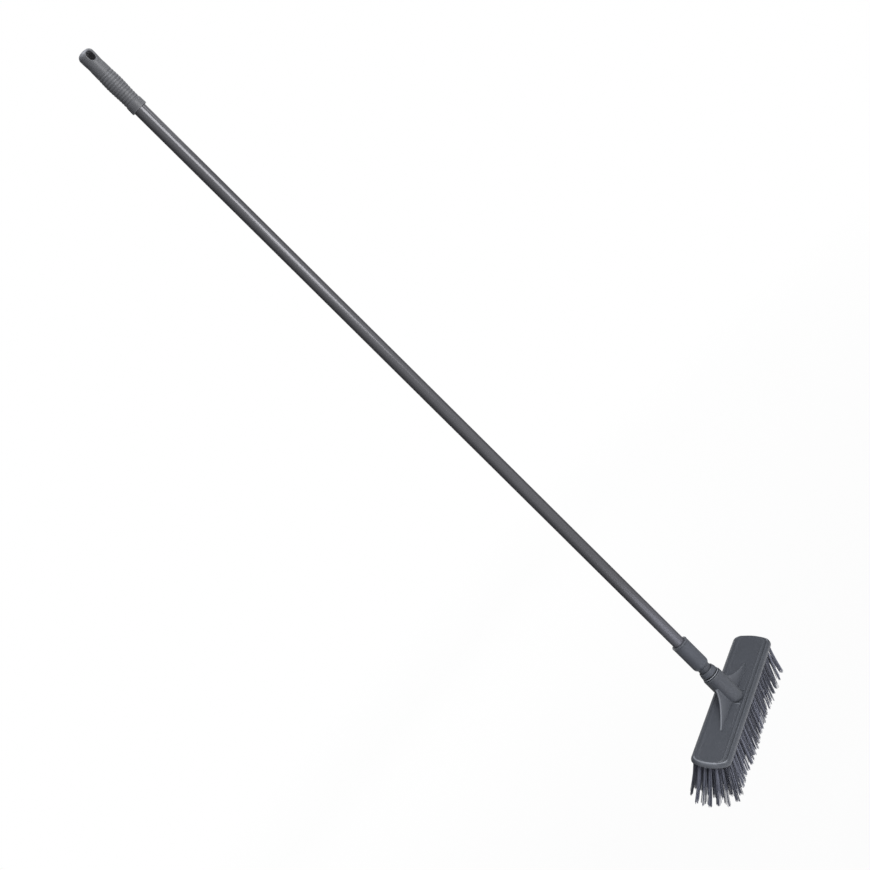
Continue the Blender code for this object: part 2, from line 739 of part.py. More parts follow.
def make_row(row, frame):
    """One row of tufts: strands of three sides, grown from the strip that holds their roots."""
    offset = row_offset(row)
    reach = row_reach(offset)
    spaces = round((reach + reach) / TUFT_PITCH)
    half_length = reach + STRIP_END
    low = AXIS_OFFSET + offset - STRIP_WIDTH / 2
    high = AXIS_OFFSET + offset + STRIP_WIDTH / 2
    corners = ((-half_length, low), (half_length, low), (half_length, high), (-half_length, high))
    bm = bmesh.new()
    bottom = [bm.verts.new((x, y, -HEAD_THICKNESS)) for x, y in corners]
    top = [bm.verts.new((x, y, -HEAD_THICKNESS + STRIP_THICKNESS)) for x, y in corners]
    bm.faces.new(top)
    for i in range(len(corners)):
        j = (i + 1) % len(corners)
        bm.faces.new((bottom[i], bottom[j], top[j], top[i]))
    face_edges = [bm.edges.get((bottom[i], bottom[(i + 1) % len(corners)])) for i in range(len(corners))]
    for tuft in range(spaces + 1):
        x = reach * (tuft / spaces - (spaces - tuft) / spaces)
        strands = strand_count(row, tuft, spaces)
        for roots, tips in tuft_strands(x, offset, strands, tuft + row):
            root_verts = [bm.verts.new(place) for place in roots]
            tip_verts = [bm.verts.new(place) for place in tips]
            for i in range(STRAND_SIDES):
                j = (i + 1) % STRAND_SIDES
                side = bm.faces.new((root_verts[i], root_verts[j], tip_verts[j], tip_verts[i]))
                face_edges.append(side.edges[0])
            bm.faces.new(tip_verts)
    bmesh.ops.triangle_fill(bm, use_beauty=True, edges=face_edges, normal=(0, 0, -1))
    return add_object(f"bristle_row_{row + 1}", bm, frame, "bristle_plastic", smooth=False)


def make_head_frame():
    """Empty on the pole's axis at the deck, turned and leant so that the pole is upright."""
    frame = bpy.data.objects.new("head_frame", None)
    bpy.context.collection.objects.link(frame)
    frame.location = (0, 0, DECK_POINT_Z)
    frame.rotation_euler = (POLE_TILT, 0, HEAD_TURN)
    return frame


def main():
    clear_scene()
    make_pole()
    make_grip()
    make_ferrule()
    make_ring()
    head_frame = make_head_frame()
    make_head(head_frame)
    for row in range(ROW_COUNT):
        make_row(row, head_frame)


main()
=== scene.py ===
import math
import random

import bmesh
import bpy
from mathutils import Matrix, Vector


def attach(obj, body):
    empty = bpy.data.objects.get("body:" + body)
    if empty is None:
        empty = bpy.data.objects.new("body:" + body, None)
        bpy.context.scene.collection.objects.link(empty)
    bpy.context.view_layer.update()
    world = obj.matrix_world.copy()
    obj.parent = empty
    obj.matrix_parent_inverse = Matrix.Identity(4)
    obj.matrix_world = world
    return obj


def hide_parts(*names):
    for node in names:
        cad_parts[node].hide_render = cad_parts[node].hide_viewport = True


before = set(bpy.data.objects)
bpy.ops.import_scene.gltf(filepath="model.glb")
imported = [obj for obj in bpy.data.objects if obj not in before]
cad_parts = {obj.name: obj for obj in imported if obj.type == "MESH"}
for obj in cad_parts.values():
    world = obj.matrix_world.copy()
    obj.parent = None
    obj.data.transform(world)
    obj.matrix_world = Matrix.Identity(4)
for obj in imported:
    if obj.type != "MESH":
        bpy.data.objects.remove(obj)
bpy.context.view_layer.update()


# Pole: one long steel tube, painted graphite grey with a fine metal fleck.
# It is pushed into the grip at its top and into the ferrule at its foot, and has no joint between.
# Its foot is a little rougher with dust, and painted a little paler and bluer as a sheen.
MM = 0.001
POLE_RADIUS = 11.0 * MM
POLE_WALL = 0.6 * MM
POLE_CUT_EDGE = 0.15 * MM
POLE_TOP = -30.0 * MM
POLE_LENGTH = 1335.0 * MM
POLE_FOOT = POLE_TOP - POLE_LENGTH
POLE_IN_FERRULE = 45.5 * MM
DUST_SHEEN_REACH = 210.0 * MM
POLE_STATIONS = 60
TURNED_SIDES = 96
PAINT_DARK = (0.076, 0.076, 0.084)
PAINT_LIGHT = (0.102, 0.102, 0.112)
PAINT_DUST_SHEEN = (0.140, 0.142, 0.168)
PAINT_RUBBED = (0.24, 0.24, 0.25)


class Shade:
    """A socket of a material, so that shader sums read as plain sums."""

    def __init__(self, tree, socket=None):
        self.tree = tree
        self.socket = socket

    def node(self, kind, settings, sockets, out=0):
        """Any node: its settings first, then values or links for its sockets."""
        made = self.tree.nodes.new(kind)
        for name, value in settings.items():
            setattr(made, name, value)
        for key, value in sockets.items():
            if isinstance(value, Shade):
                self.tree.links.new(value.socket, made.inputs[key])
            else:
                made.inputs[key].default_value = value
        return Shade(self.tree, made.outputs[out])

    def sum_with(self, operation, first, second):
        return self.node("ShaderNodeMath", {"operation": operation}, {0: first, 1: second})

    def __add__(self, other):
        return self.sum_with("ADD", self, other)

    def __sub__(self, other):
        return self.sum_with("SUBTRACT", self, other)

    def __mul__(self, other):
        return self.sum_with("MULTIPLY", self, other)

    def __rsub__(self, other):
        return self.sum_with("SUBTRACT", other, self)

    __radd__ = __add__
    __rmul__ = __mul__

    def clamped(self):
        return self.node("ShaderNodeClamp", {}, {"Value": self})

    def place(self):
        """Place on the piece, in metres."""
        return self.node("ShaderNodeTexCoord", {}, {}, out="Object")

    def noise(self, scale, detail=3.0, stretch=(1, 1, 1), roughness=0.55):
        """Noise over the piece, with each axis stretched by its own factor."""
        place = self.node("ShaderNodeMapping", {}, {"Vector": self.place(), "Scale": stretch})
        sockets = {"Vector": place, "Scale": scale, "Detail": detail, "Roughness": roughness}
        return self.node("ShaderNodeTexNoise", {}, sockets)

    def mark(self, name):
        """A value painted on the mesh's points."""
        settings = {"attribute_type": "GEOMETRY", "attribute_name": name}
        return self.node("ShaderNodeAttribute", settings, {}, out="Fac")

    def between(self, low, high):
        """Share of the way from low to high, held to 0 and 1."""
        sockets = {"Value": self, "From Min": low, "From Max": high}
        return self.node("ShaderNodeMapRange", {"clamp": True}, sockets)

    def tint(self, first, second):
        """Mix of two colours by this value."""
        sockets = {"Factor": self}
        for key, colour in ((6, first), (7, second)):
            sockets[key] = colour if isinstance(colour, Shade) else (*colour, 1)
        return self.node("ShaderNodeMix", {"data_type": "RGBA"}, sockets, out=2)


def new_finish(name, steady):
    """An empty Principled material; values that are the same all over are set on its own sockets."""
    finish = bpy.data.materials.new(name)
    finish.use_nodes = True
    surface = finish.node_tree.nodes["Principled BSDF"]
    for key, value in steady.items():
        surface.inputs[key].default_value = value
    return finish, surface, Shade(finish.node_tree)


def connect(surface, shade, sockets, bump=None, bump_height=0.0):
    """Link what varies over the surface to a Principled shader; the bump's height is in metres."""
    for key, value in sockets.items():
        shade.tree.links.new(value.socket, surface.inputs[key])
    if bump:
        height = {"Height": bump, "Distance": bump_height, "Strength": 1.0}
        normal = shade.node("ShaderNodeBump", {}, height)
        shade.tree.links.new(normal.socket, surface.inputs["Normal"])


def make_piece(name, bm, finish=None, sharp=math.radians(35)):
    """Turn a bmesh into an object with outward faces, smooth but for its sharp edges."""
    bmesh.ops.recalc_face_normals(bm, faces=bm.faces)
    mesh = bpy.data.meshes.new(name)
    bm.to_mesh(mesh)
    bm.free()
    piece = bpy.data.objects.new(name, mesh)
    bpy.context.collection.objects.link(piece)
    mesh.shade_smooth()
    mesh.set_sharp_from_angle(angle=sharp)
    if finish:
        mesh.materials.append(finish)
    return piece


def turned(profile, ring_closed=False):
    """Turn points of radius, height and a mark about the pole's axis: up to 1 for rubbed edges and painted
    highlights, down to -1 for painted shade.
    """
    bm = bmesh.new()
    wear_and_painted_light = bm.verts.layers.float.new("wear_and_painted_light")
    rings = []
    for radius, height, *marked in profile:
        ring = []
        for i in range(TURNED_SIDES if radius else 1):
            angle = 2 * math.pi * i / TURNED_SIDES
            vert = bm.verts.new((radius * math.cos(angle), radius * math.sin(angle), height))
            vert[wear_and_painted_light] = marked[0] if marked else 0
            ring.append(vert)
        rings.append(ring)
    pairs = list(zip(rings, rings[1:]))
    if ring_closed:
        pairs.append((rings[-1], rings[0]))
    for low, high in pairs:
        for i in range(TURNED_SIDES):
            j = (i + 1) % TURNED_SIDES
            corners = (low[i % len(low)], low[j % len(low)], high[j % len(high)], high[i % len(high)])
            bm.faces.new(list(dict.fromkeys(corners)))
    return bm


def eased(value, low, high):
    """Share of the way from low to high, with a soft start and end."""
    share = min(max((value - low) / (high - low), 0), 1)
    return share * share * (3 - 2 * share)


def pole_profile():
    """Outside of the tube from foot to top, with cut edges, then its bore."""
    bore = POLE_RADIUS - POLE_WALL
    points = [(POLE_RADIUS - POLE_CUT_EDGE, POLE_FOOT, 1)]
    for i in range(POLE_STATIONS + 1):
        up = POLE_CUT_EDGE + (POLE_LENGTH - 2 * POLE_CUT_EDGE) * i / POLE_STATIONS
        points.append((POLE_RADIUS, POLE_FOOT + up))
    points += [(POLE_RADIUS - POLE_CUT_EDGE, POLE_TOP, 1), (bore, POLE_TOP), (bore, POLE_FOOT)]
    return points


def pole_mesh():
    """The tube, with the stretch above the ferrule marked for dusted roughness and a painted sheen."""
    bm = turned(pole_profile(), ring_closed=True)
    dust_sheen = bm.verts.layers.float.new("dust_sheen")
    for vert in bm.verts:
        vert[dust_sheen] = 1 - eased(vert.co.z - POLE_FOOT, POLE_IN_FERRULE, DUST_SHEEN_REACH)
    return bm


def pole_finish():
    """Semi-gloss graphite paint: metal fleck, faint streaks along the pole, rubbed specks, and a dusted,
    rougher foot painted paler and bluer as a sheen.
    """
    finish, surface, shade = new_finish("pole_paint", {"IOR": 1.5})
    fleck = shade.noise(2600, detail=1.0).between(0.35, 0.70)
    streak = shade.noise(90, detail=4.0, stretch=(1, 1, 0.03)).between(0.30, 0.75)
    cloud = shade.noise(9, detail=2.0).between(0.30, 0.70)
    rubbed = shade.noise(420, detail=5.0, roughness=0.7).between(0.66, 0.74)
    # Dusted roughness at the foot, and there a paler, bluer tint painted as a sheen.
    dust_sheen_share = shade.mark("dust_sheen") * (0.7 + 0.3 * cloud)
    colour = (fleck * 0.35 + streak * 0.40 + cloud * 0.25).tint(PAINT_DARK, PAINT_LIGHT)
    colour = (dust_sheen_share * 0.75).tint(colour, PAINT_DUST_SHEEN)
    colour = (rubbed * 0.08).tint(colour, PAINT_RUBBED)
    roughness = 0.19 + streak * 0.03 + fleck * 0.02 + dust_sheen_share * 0.14
    metal = 0.38 + fleck * 0.10
    grain = shade.noise(2600, detail=2.0)
    sockets = {"Base Color": colour, "Roughness": roughness, "Metallic": metal}
    connect(surface, shade, sockets, bump=grain, bump_height=0.000001)
    return finish


pole = make_piece("pole", pole_mesh(), pole_finish())
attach(pole, "handle")
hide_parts("pole_tube")


# Grip: one plastic moulding pushed on the pole's top. It has a round end with an oval hanging hole,
# a plain waist, shallow finger rings and a slightly wider collar at its mouth.
GRIP_TIP = 13.0 * MM
GRIP_LENGTH = 117.0 * MM
GRIP_MOUTH = GRIP_TIP - GRIP_LENGTH
GRIP_END_RADIUS = 13.3 * MM
GRIP_ROUNDING = 8.5 * MM
GRIP_ROUND_STEPS = 16
GRIP_STEP = 0.45 * MM
GRIP_EDGE = 0.7 * MM
WAIST_RADIUS = 12.7 * MM
WAIST_FROM = 12.0 * MM
WAIST_DOWN = 26.0 * MM
SHOULDER_DOWN = 34.0 * MM
SWELL_DOWN = 65.0 * MM
SWELL_REACH = 31.0 * MM
SWELL_HEIGHT = 1.0 * MM
RINGS_DOWN = 46.0 * MM
RING_STEP = 5.0 * MM
RING_TOTAL = 11
RING_DEPTH = 0.50 * MM
RING_BASE = 13.1 * MM
RING_CREST_WEAR = 0.2
RING_GROOVE_SHADE = -0.21
TIP_WEAR = 0.2
EDGE_MIDDLE = 0.3
COLLAR_LENGTH = 16.0 * MM
COLLAR_FLARE = 4.0 * MM
COLLAR_FLARE_SHARE = 0.45
COLLAR_RADIUS = 14.0 * MM
SEAT_GAP = 0.3 * MM
HOLE_HALF_WIDTH = 5.5 * MM
HOLE_STRAIGHT = 2.5 * MM
HOLE_ROUNDING = 1.5 * MM
HOLE_ROUND_STEPS = 7
HOLE_ARC_STEPS = 20
HOLE_OVERRUN = 6.0 * MM
GRIP_DARK = (0.078, 0.080, 0.087)
GRIP_LIGHT = (0.096, 0.098, 0.106)
GRIP_RUBBED = (0.24, 0.242, 0.256)


def grip_radius(down):
    """Outer radius and wear of the grip at a distance below its tip."""
    if down < GRIP_ROUNDING:
        slope = 1 - down / GRIP_ROUNDING
        return GRIP_END_RADIUS - GRIP_ROUNDING * (1 - math.sqrt(max(1 - slope * slope, 0))), TIP_WEAR
    if down < WAIST_DOWN:
        waist = eased(down, WAIST_FROM, WAIST_DOWN)
        return GRIP_END_RADIUS + (WAIST_RADIUS - GRIP_END_RADIUS) * waist, 0
    swell = math.cos(math.pi / 2 * min(abs(down - SWELL_DOWN) / SWELL_REACH, 1)) ** 2
    side = RING_BASE + SWELL_HEIGHT * swell
    if down < RINGS_DOWN - RING_STEP / 2:
        return WAIST_RADIUS + (side - WAIST_RADIUS) * eased(down, WAIST_DOWN, SHOULDER_DOWN), 0
    phase = (down - RINGS_DOWN) / RING_STEP
    if phase < RING_TOTAL:
        # The crests are a little rubbed; the grooves between them are painted with shade.
        groove = abs(math.cos(math.pi * phase)) ** 4
        marked = RING_CREST_WEAR + (RING_GROOVE_SHADE - RING_CREST_WEAR) * groove
        return side - RING_DEPTH * groove, marked
    collar = GRIP_LENGTH - COLLAR_LENGTH
    flare = eased(down, collar, collar + COLLAR_FLARE)
    foot = RING_BASE - RING_DEPTH * (1 - flare)
    widened = COLLAR_FLARE_SHARE * flare + (1 - COLLAR_FLARE_SHARE) * (down - collar) / COLLAR_LENGTH
    return foot + (COLLAR_RADIUS - RING_BASE) * widened, 0


def grip_profile():
    """Points from the tip down to the mouth, then up the blind bore."""
    points = [(0, GRIP_TIP)]
    for i in range(1, GRIP_ROUND_STEPS + 1):
        down = GRIP_ROUNDING * (1 - math.cos(math.pi / 2 * i / GRIP_ROUND_STEPS))
        radius, marked = grip_radius(min(down, GRIP_ROUNDING - 1e-9))
        points.append((radius, GRIP_TIP - down, marked))
    down = GRIP_ROUNDING
    while down + GRIP_STEP < GRIP_LENGTH - GRIP_EDGE:
        down += GRIP_STEP
        radius, marked = grip_radius(down)
        points.append((radius, GRIP_TIP - down, marked))
    middle = GRIP_EDGE * EDGE_MIDDLE
    points.append((COLLAR_RADIUS, GRIP_MOUTH + GRIP_EDGE, 0.6))
    points.append((COLLAR_RADIUS - middle, GRIP_MOUTH + middle, 1))
    points.append((COLLAR_RADIUS - GRIP_EDGE, GRIP_MOUTH, 0.6))
    bore = POLE_RADIUS + SEAT_GAP
    points += [(bore + GRIP_EDGE * 0.5, GRIP_MOUTH), (bore, GRIP_MOUTH + GRIP_EDGE * 0.5)]
    points += [(bore, POLE_TOP + SEAT_GAP), (0, POLE_TOP + SEAT_GAP)]
    return points


def hole_points(grow):
    """The hanging hole's oval, grown outwards: place across and up."""
    points = []
    reach = HOLE_HALF_WIDTH + grow
    for side in (1, -1):
        for i in range(HOLE_ARC_STEPS + 1):
            angle = math.pi * i / HOLE_ARC_STEPS
            across = side * reach * math.cos(angle)
            points.append((across, side * (HOLE_STRAIGHT + reach * math.sin(angle))))
    return points


def grip_face(across, up):
    """Distance of the grip's skin from the hole's middle plane."""
    radius, _ = grip_radius(GRIP_TIP - up)
    return math.sqrt(radius * radius - across * across)


def skin(bm, rows):
    """Faces from row to row, where each row is a closed loop of points, and over both ends."""
    count = len(rows[0])
    for low, high in zip(rows, rows[1:]):
        for i in range(count):
            j = (i + 1) % count
            bm.faces.new((low[i], low[j], high[j], high[i]))
    bm.faces.new(rows[0])
    bm.faces.new(rows[-1])


def hole_cutter():
    """The hole with a round fillet that follows the grip's round skin on both faces."""
    bm = bmesh.new()
    rows = []
    far = GRIP_END_RADIUS + HOLE_OVERRUN
    for face in (-1, 1):
        rows_here = []
        for i in range(HOLE_ROUND_STEPS + 1):
            turn = math.pi / 2 * i / HOLE_ROUND_STEPS
            grow = HOLE_ROUNDING * (1 - math.cos(turn))
            sink = HOLE_ROUNDING * (1 - math.sin(turn))
            oval = hole_points(grow)
            rows_here.append([(across, face * (grip_face(across, up) - sink), up) for across, up in oval])
        rows_here.append([(across, face * far, up) for across, up in hole_points(HOLE_ROUNDING)])
        rows += rows_here[::face]
    skin(bm, [[bm.verts.new(place) for place in row] for row in rows])
    return make_piece("hole_cutter", bm)


def carve(piece, tools):
    """Apply joins and cuts one after the other, then take the tools away."""
    for tool, operation in tools:
        step = piece.modifiers.new("step", "BOOLEAN")
        step.object = tool
        step.operation = operation
        step.solver = "MANIFOLD"
    bpy.context.view_layer.update()
    shaped = bpy.data.meshes.new_from_object(piece.evaluated_get(bpy.context.evaluated_depsgraph_get()))
    piece.modifiers.clear()
    piece.data = shaped
    for tool, _ in tools:
        bpy.data.objects.remove(tool, do_unlink=True)


def moulded_finish(name, colours, roughness, grain, grain_height=0.00003, scuffed=0.12):
    """Moulded plastic: cloudy colour, fine grain, scuffs, pale rubbed edges and painted highlights, painted
    shade in grooves and gaps.
    """
    dark, light, rubbed = colours
    finish, surface, shade = new_finish(name, {"IOR": 1.47, "Specular IOR Level": 0.45})
    cloud = shade.noise(28, detail=4.0).between(0.25, 0.75)
    speck = shade.noise(grain, detail=2.0).between(0.30, 0.72)
    scuff = shade.noise(160, detail=6.0, stretch=(0.4, 1, 1), roughness=0.75).between(0.60, 0.78)
    base = (cloud * 0.5 + speck * 0.5).tint(dark, light)
    # Marks above 0: rubbed edges and painted highlights, tinted pale.
    edge = shade.mark("wear_and_painted_light").clamped() * (0.75 + 0.25 * speck)
    colour = (edge * 0.85 + scuff * scuffed).clamped().tint(base, rubbed)
    # Marks below 0: painted shade in grooves, gaps and hollows, tinted dark.
    groove = (shade.mark("wear_and_painted_light") * -1.0).clamped()
    colour = groove.tint(colour, tuple(part * 0.15 for part in dark))
    rough = roughness + speck * 0.08 + scuff * 0.10 - edge * 0.06
    fine = shade.noise(grain * 0.8, detail=3.0)
    connect(surface, shade, {"Base Color": colour, "Roughness": rough}, bump=fine, bump_height=grain_height)
    return finish


grip_colours = (GRIP_DARK, GRIP_LIGHT, GRIP_RUBBED)
grip_plastic = moulded_finish("grip_plastic", grip_colours, 0.40, 1600, grain_height=0.000008, scuffed=0.08)
grip = make_piece("grip", turned(grip_profile()), grip_plastic, sharp=math.radians(40))
carve(grip, [(hole_cutter(), "DIFFERENCE")])
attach(grip, "handle")
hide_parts("hand_grip")


# Ferrule: one plastic moulding pressed on the pole's foot: a straight sleeve with a thin lip at its
# mouth, a rounded shoulder, a neck with a snap bead for the lock ring, and a coarse right-hand thread.
SLEEVE_MOUTH = POLE_FOOT + POLE_IN_FERRULE
SLEEVE_RADIUS = 14.7 * MM
SLEEVE_LENGTH = 50.0 * MM
SLEEVE_EDGE = 0.5 * MM
SLEEVE_STEPS = 24
LIP_RADIUS = 15.0 * MM
LIP_HEIGHT = 2.6 * MM
SHOULDER_DROP = 7.0 * MM
SHOULDER_STEPS = 12
NECK_RADIUS = 11.2 * MM
NECK_SHOWING = 8.5 * MM
NECK_SHADED = 1.0 * MM
NECK_SHADOW_RISE = 0.2 * MM
SNAP_RADIUS = 11.9 * MM
SNAP_HEIGHT = 1.4 * MM
LOCK_RING_HEIGHT = 11.1 * MM
NECK_TOP = SLEEVE_MOUTH - SLEEVE_LENGTH - SHOULDER_DROP
RING_TOP = NECK_TOP - NECK_SHOWING
RING_FOOT = RING_TOP - LOCK_RING_HEIGHT
SOCKET_MOUTH = RING_FOOT - SEAT_GAP
THREAD_CORE = 9.0 * MM
THREAD_CREST = 10.5 * MM
THREAD_ROOT_WIDTH = 3.0 * MM
THREAD_CREST_WIDTH = 1.2 * MM
THREAD_PITCH = 5.0 * MM
THREAD_TURNS = 5
FERRULE_TURNS = THREAD_TURNS - 0.6
THREAD_STEPS = 64
THREAD_RUN_OUT = 12
THREAD_END_SHARE = 0.25
THREAD_START = 1.0 * MM
THREAD_LIFT = 1.5 * MM
THREAD_LEAD = 4.0 * MM
THREAD_CHAMFER = 1.0 * MM
THREAD_SINK = 0.4 * MM
FERRULE_DARK = (0.066, 0.072, 0.088)
FERRULE_LIGHT = (0.084, 0.092, 0.110)
FERRULE_RUBBED = (0.22, 0.226, 0.24)


def ferrule_profile():
    """From the bottom of the bore, up and round the mouth, then down to the thread's end."""
    bore = POLE_RADIUS + SEAT_GAP
    bore_foot = POLE_FOOT - SEAT_GAP
    edge = SLEEVE_EDGE
    lip_foot = SLEEVE_MOUTH - LIP_HEIGHT
    points = [(0, bore_foot), (bore, bore_foot), (bore, SLEEVE_MOUTH - edge)]
    points += [(bore + edge * 0.5, SLEEVE_MOUTH, 0.3), (LIP_RADIUS - edge, SLEEVE_MOUTH, 0.2)]
    points.append((LIP_RADIUS - edge * EDGE_MIDDLE, SLEEVE_MOUTH - edge * EDGE_MIDDLE, 0.3))
    points.append((LIP_RADIUS, SLEEVE_MOUTH - edge, 0.2))
    # Painted shade just under the mouth's lip.
    points += [(LIP_RADIUS, lip_foot + edge, 0), (SLEEVE_RADIUS, lip_foot, -0.45)]
    for i in range(1, SLEEVE_STEPS):
        points.append((SLEEVE_RADIUS, lip_foot - (SLEEVE_LENGTH - LIP_HEIGHT) * i / SLEEVE_STEPS))
    for i in range(SHOULDER_STEPS + 1):
        turn = math.pi / 2 * i / SHOULDER_STEPS
        radius = NECK_RADIUS + (SLEEVE_RADIUS - NECK_RADIUS) * math.cos(turn)
        points.append((radius, SLEEVE_MOUTH - SLEEVE_LENGTH - SHOULDER_DROP * math.sin(turn)))
    # Painted shade down the neck, darkest just above the lock ring.
    points += [(NECK_RADIUS, NECK_TOP - NECK_SHADED, -0.12), (NECK_RADIUS, RING_TOP + NECK_SHADOW_RISE, -0.4)]
    points += [(NECK_RADIUS, RING_FOOT + SNAP_HEIGHT + edge), (SNAP_RADIUS, RING_FOOT + SNAP_HEIGHT)]
    points += [(SNAP_RADIUS, RING_FOOT + edge), (SNAP_RADIUS - edge, RING_FOOT), (THREAD_CORE, RING_FOOT)]
    end = SOCKET_MOUTH - THREAD_START - THREAD_PITCH * THREAD_TURNS - THREAD_LEAD
    points += [(THREAD_CORE, end + THREAD_CHAMFER), (THREAD_CORE - THREAD_CHAMFER, end), (0, end)]
    return points


def thread_ridge(mouth, turns, grown):
    """Coarse screw ridge that climbs one pitch a turn, grown all round, and runs out at both ends."""
    bm = bmesh.new()
    inner = THREAD_CORE - THREAD_SINK + grown
    outer = THREAD_CREST + grown
    root = THREAD_ROOT_WIDTH / 2 + grown
    crest = THREAD_CREST_WIDTH / 2 + grown
    lowest = mouth - THREAD_START - THREAD_PITCH * THREAD_TURNS + THREAD_LIFT
    rows = []
    total = round(turns * THREAD_STEPS)
    for step in range(total + 1):
        angle = 2 * math.pi * step / THREAD_STEPS
        climb = lowest + THREAD_PITCH * step / THREAD_STEPS
        fade = min(1, step / THREAD_RUN_OUT, (total - step) / THREAD_RUN_OUT)
        full = inner + (outer - inner) * (THREAD_END_SHARE + (1 - THREAD_END_SHARE) * fade)
        section = ((inner, -root), (full, -crest), (full, crest), (inner, root))
        places = [(radius * math.cos(angle), radius * math.sin(angle), climb + up) for radius, up in section]
        rows.append([bm.verts.new(place) for place in places])
    skin(bm, rows)
    return make_piece("ridge", bm)


ferrule_colours = (FERRULE_DARK, FERRULE_LIGHT, FERRULE_RUBBED)
ferrule_plastic = moulded_finish("ferrule_plastic", ferrule_colours, 0.42, 1500)
ferrule = make_piece("ferrule_sleeve", turned(ferrule_profile()), ferrule_plastic)
carve(ferrule, [(thread_ridge(SOCKET_MOUTH, FERRULE_TURNS, 0), "UNION")])
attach(ferrule, "handle")
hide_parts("ferrule")


# Lock ring: a loose tapered plastic ring, snapped on the ferrule's neck. It covers the joint and sits
# on the socket's mouth, where a narrow groove runs round its foot.
RUN_CLEARANCE = 0.4 * MM
RING_EDGE = 0.45 * MM
RING_TOP_RADIUS = 13.7 * MM
RING_TOP_EDGE = 0.8 * MM
RING_TOP_STEPS = 6
RING_BELLY_RADIUS = 15.1 * MM
RING_BELLY_HEIGHT = 3.8 * MM
RING_TAPER_STEPS = 8
RING_STRAIGHT_SHARE = 0.7
RING_GROOVE_RADIUS = 13.9 * MM
RING_GROOVE_WIDTH = 1.7 * MM
RING_RECESS_HEIGHT = 2.3 * MM
RING_DARK = (0.067, 0.074, 0.090)
RING_LIGHT = (0.086, 0.094, 0.113)
RING_RUBBED = (0.23, 0.236, 0.25)


def lock_ring_profile():
    """A closed section: outside from top to foot, the recess for the snap bead, the bore."""
    edge = RING_EDGE
    bore = NECK_RADIUS + RUN_CLEARANCE
    recess = SNAP_RADIUS + RUN_CLEARANCE
    recess_top = RING_FOOT + RING_RECESS_HEIGHT
    # Painted shade round the top of the bore.
    points = [(bore, RING_TOP - edge, -0.5), (bore + edge, RING_TOP, -0.2)]
    for i in range(RING_TOP_STEPS + 1):
        turn = math.pi / 2 * i / RING_TOP_STEPS
        radius = RING_TOP_RADIUS - RING_TOP_EDGE * (1 - math.sin(turn))
        points.append((radius, RING_TOP - RING_TOP_EDGE * (1 - math.cos(turn)), 0.2))
    drop = LOCK_RING_HEIGHT - RING_TOP_EDGE - RING_BELLY_HEIGHT
    for i in range(1, RING_TAPER_STEPS + 1):
        share = i / RING_TAPER_STEPS
        swell = math.sin(math.pi / 2 * share)
        widened = RING_STRAIGHT_SHARE * share + (1 - RING_STRAIGHT_SHARE) * swell
        radius = RING_TOP_RADIUS + (RING_BELLY_RADIUS - RING_TOP_RADIUS) * widened
        points.append((radius, RING_TOP - RING_TOP_EDGE - drop * share))
    groove_top = RING_FOOT + RING_GROOVE_WIDTH
    points.append((RING_BELLY_RADIUS, groove_top + edge))
    points.append((RING_BELLY_RADIUS - edge * EDGE_MIDDLE, groove_top + edge * EDGE_MIDDLE, 0.2))
    # Painted shade in the groove round the foot.
    points += [(RING_BELLY_RADIUS - edge, groove_top, -0.9), (RING_GROOVE_RADIUS, groove_top, -1)]
    points.append((RING_GROOVE_RADIUS, RING_FOOT, -1))
    points += [(recess, RING_FOOT), (recess, recess_top), (bore, recess_top)]
    return points


ring_plastic = moulded_finish("ring_plastic", (RING_DARK, RING_LIGHT, RING_RUBBED), 0.42, 1500)
ring_mesh = turned(lock_ring_profile(), ring_closed=True)
lock_ring = make_piece("neck_ring", ring_mesh, ring_plastic, sharp=math.radians(28))
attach(lock_ring, "collar")
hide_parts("lock_ring")


# Head block: one heavy plastic moulding. A long deck with bowed ends, a bead and a groove along its
# edge and a flared side, a leaning threaded socket, two sagging side webs and low pads beside them.
# It is screwed on the ferrule's thread.
POLE_TILT = math.radians(34.0)
HEAD_TURN = math.radians(21.0)
AXIS_OFFSET = 2.0 * MM
HALF_LENGTH = 157.0 * MM
HALF_WIDTH = 33.5 * MM
BLOCK_DEPTH = 9.0 * MM
END_RADIUS = 64.0 * MM
CORNER_RADIUS = 13.0 * MM
END_INSET_SHARE = 0.65
CORNER_INSET_SHARE = 0.30
RELIEF_FROM = 0.35
RELIEF_FULL = 0.90
RELIEF_AT_BACK = 0.4
CORNER_HIGHLIGHT_FROM = 18.0 * MM
CORNER_HIGHLIGHT_FULL = 9.0 * MM
CORNER_RUBBED_HIGHLIGHT = 0.75
SIDE_HIGHLIGHT_CUT = 0.3
END_PAINTED_LIGHT = 0.26
SIDE_STEPS = 40
CORNER_STEPS = 14
END_STEPS = 22
SOCKET_LENGTH = 56.7 * MM
SOCKET_RADIUS = 17.1 * MM
SOCKET_RIM_RADIUS = 15.9 * MM
SOCKET_RIM_EDGE = 0.3 * MM
SOCKET_EDGE = 0.5 * MM
SOCKET_GROOVE_RADIUS = 14.7 * MM
SOCKET_GROOVE_DOWN = 3.1 * MM
SOCKET_GROOVE_WIDTH = 0.9 * MM
SOCKET_BALL_STEPS = 20
SOCKET_SIDE_STEPS = 16
SOCKET_SINK = 4.0 * MM
SOCKET_SHADE = -0.7
SOCKET_SHADE_REACH = 8.0 * MM
SOCKET_SHADE_FROM = 1.0 * MM
SOCKET_SHADE_HEIGHT = 5.0 * MM
SOCKET_TURNS = THREAD_TURNS + 0.4
BORE_DEPTH = 33.0 * MM
BORE_MARGIN = 2.0 * MM
WEB_HALF_THICKNESS = 1.5 * MM
WEB_RIDGE_EDGE = 0.35 * MM
WEB_RIDGE_ROUNDING = 0.5 * MM
WEB_LEAST_RISE = 0.3 * MM
WEB_START = 12.0 * MM
WEB_REACH = 81.0 * MM
WEB_STATIONS = 44
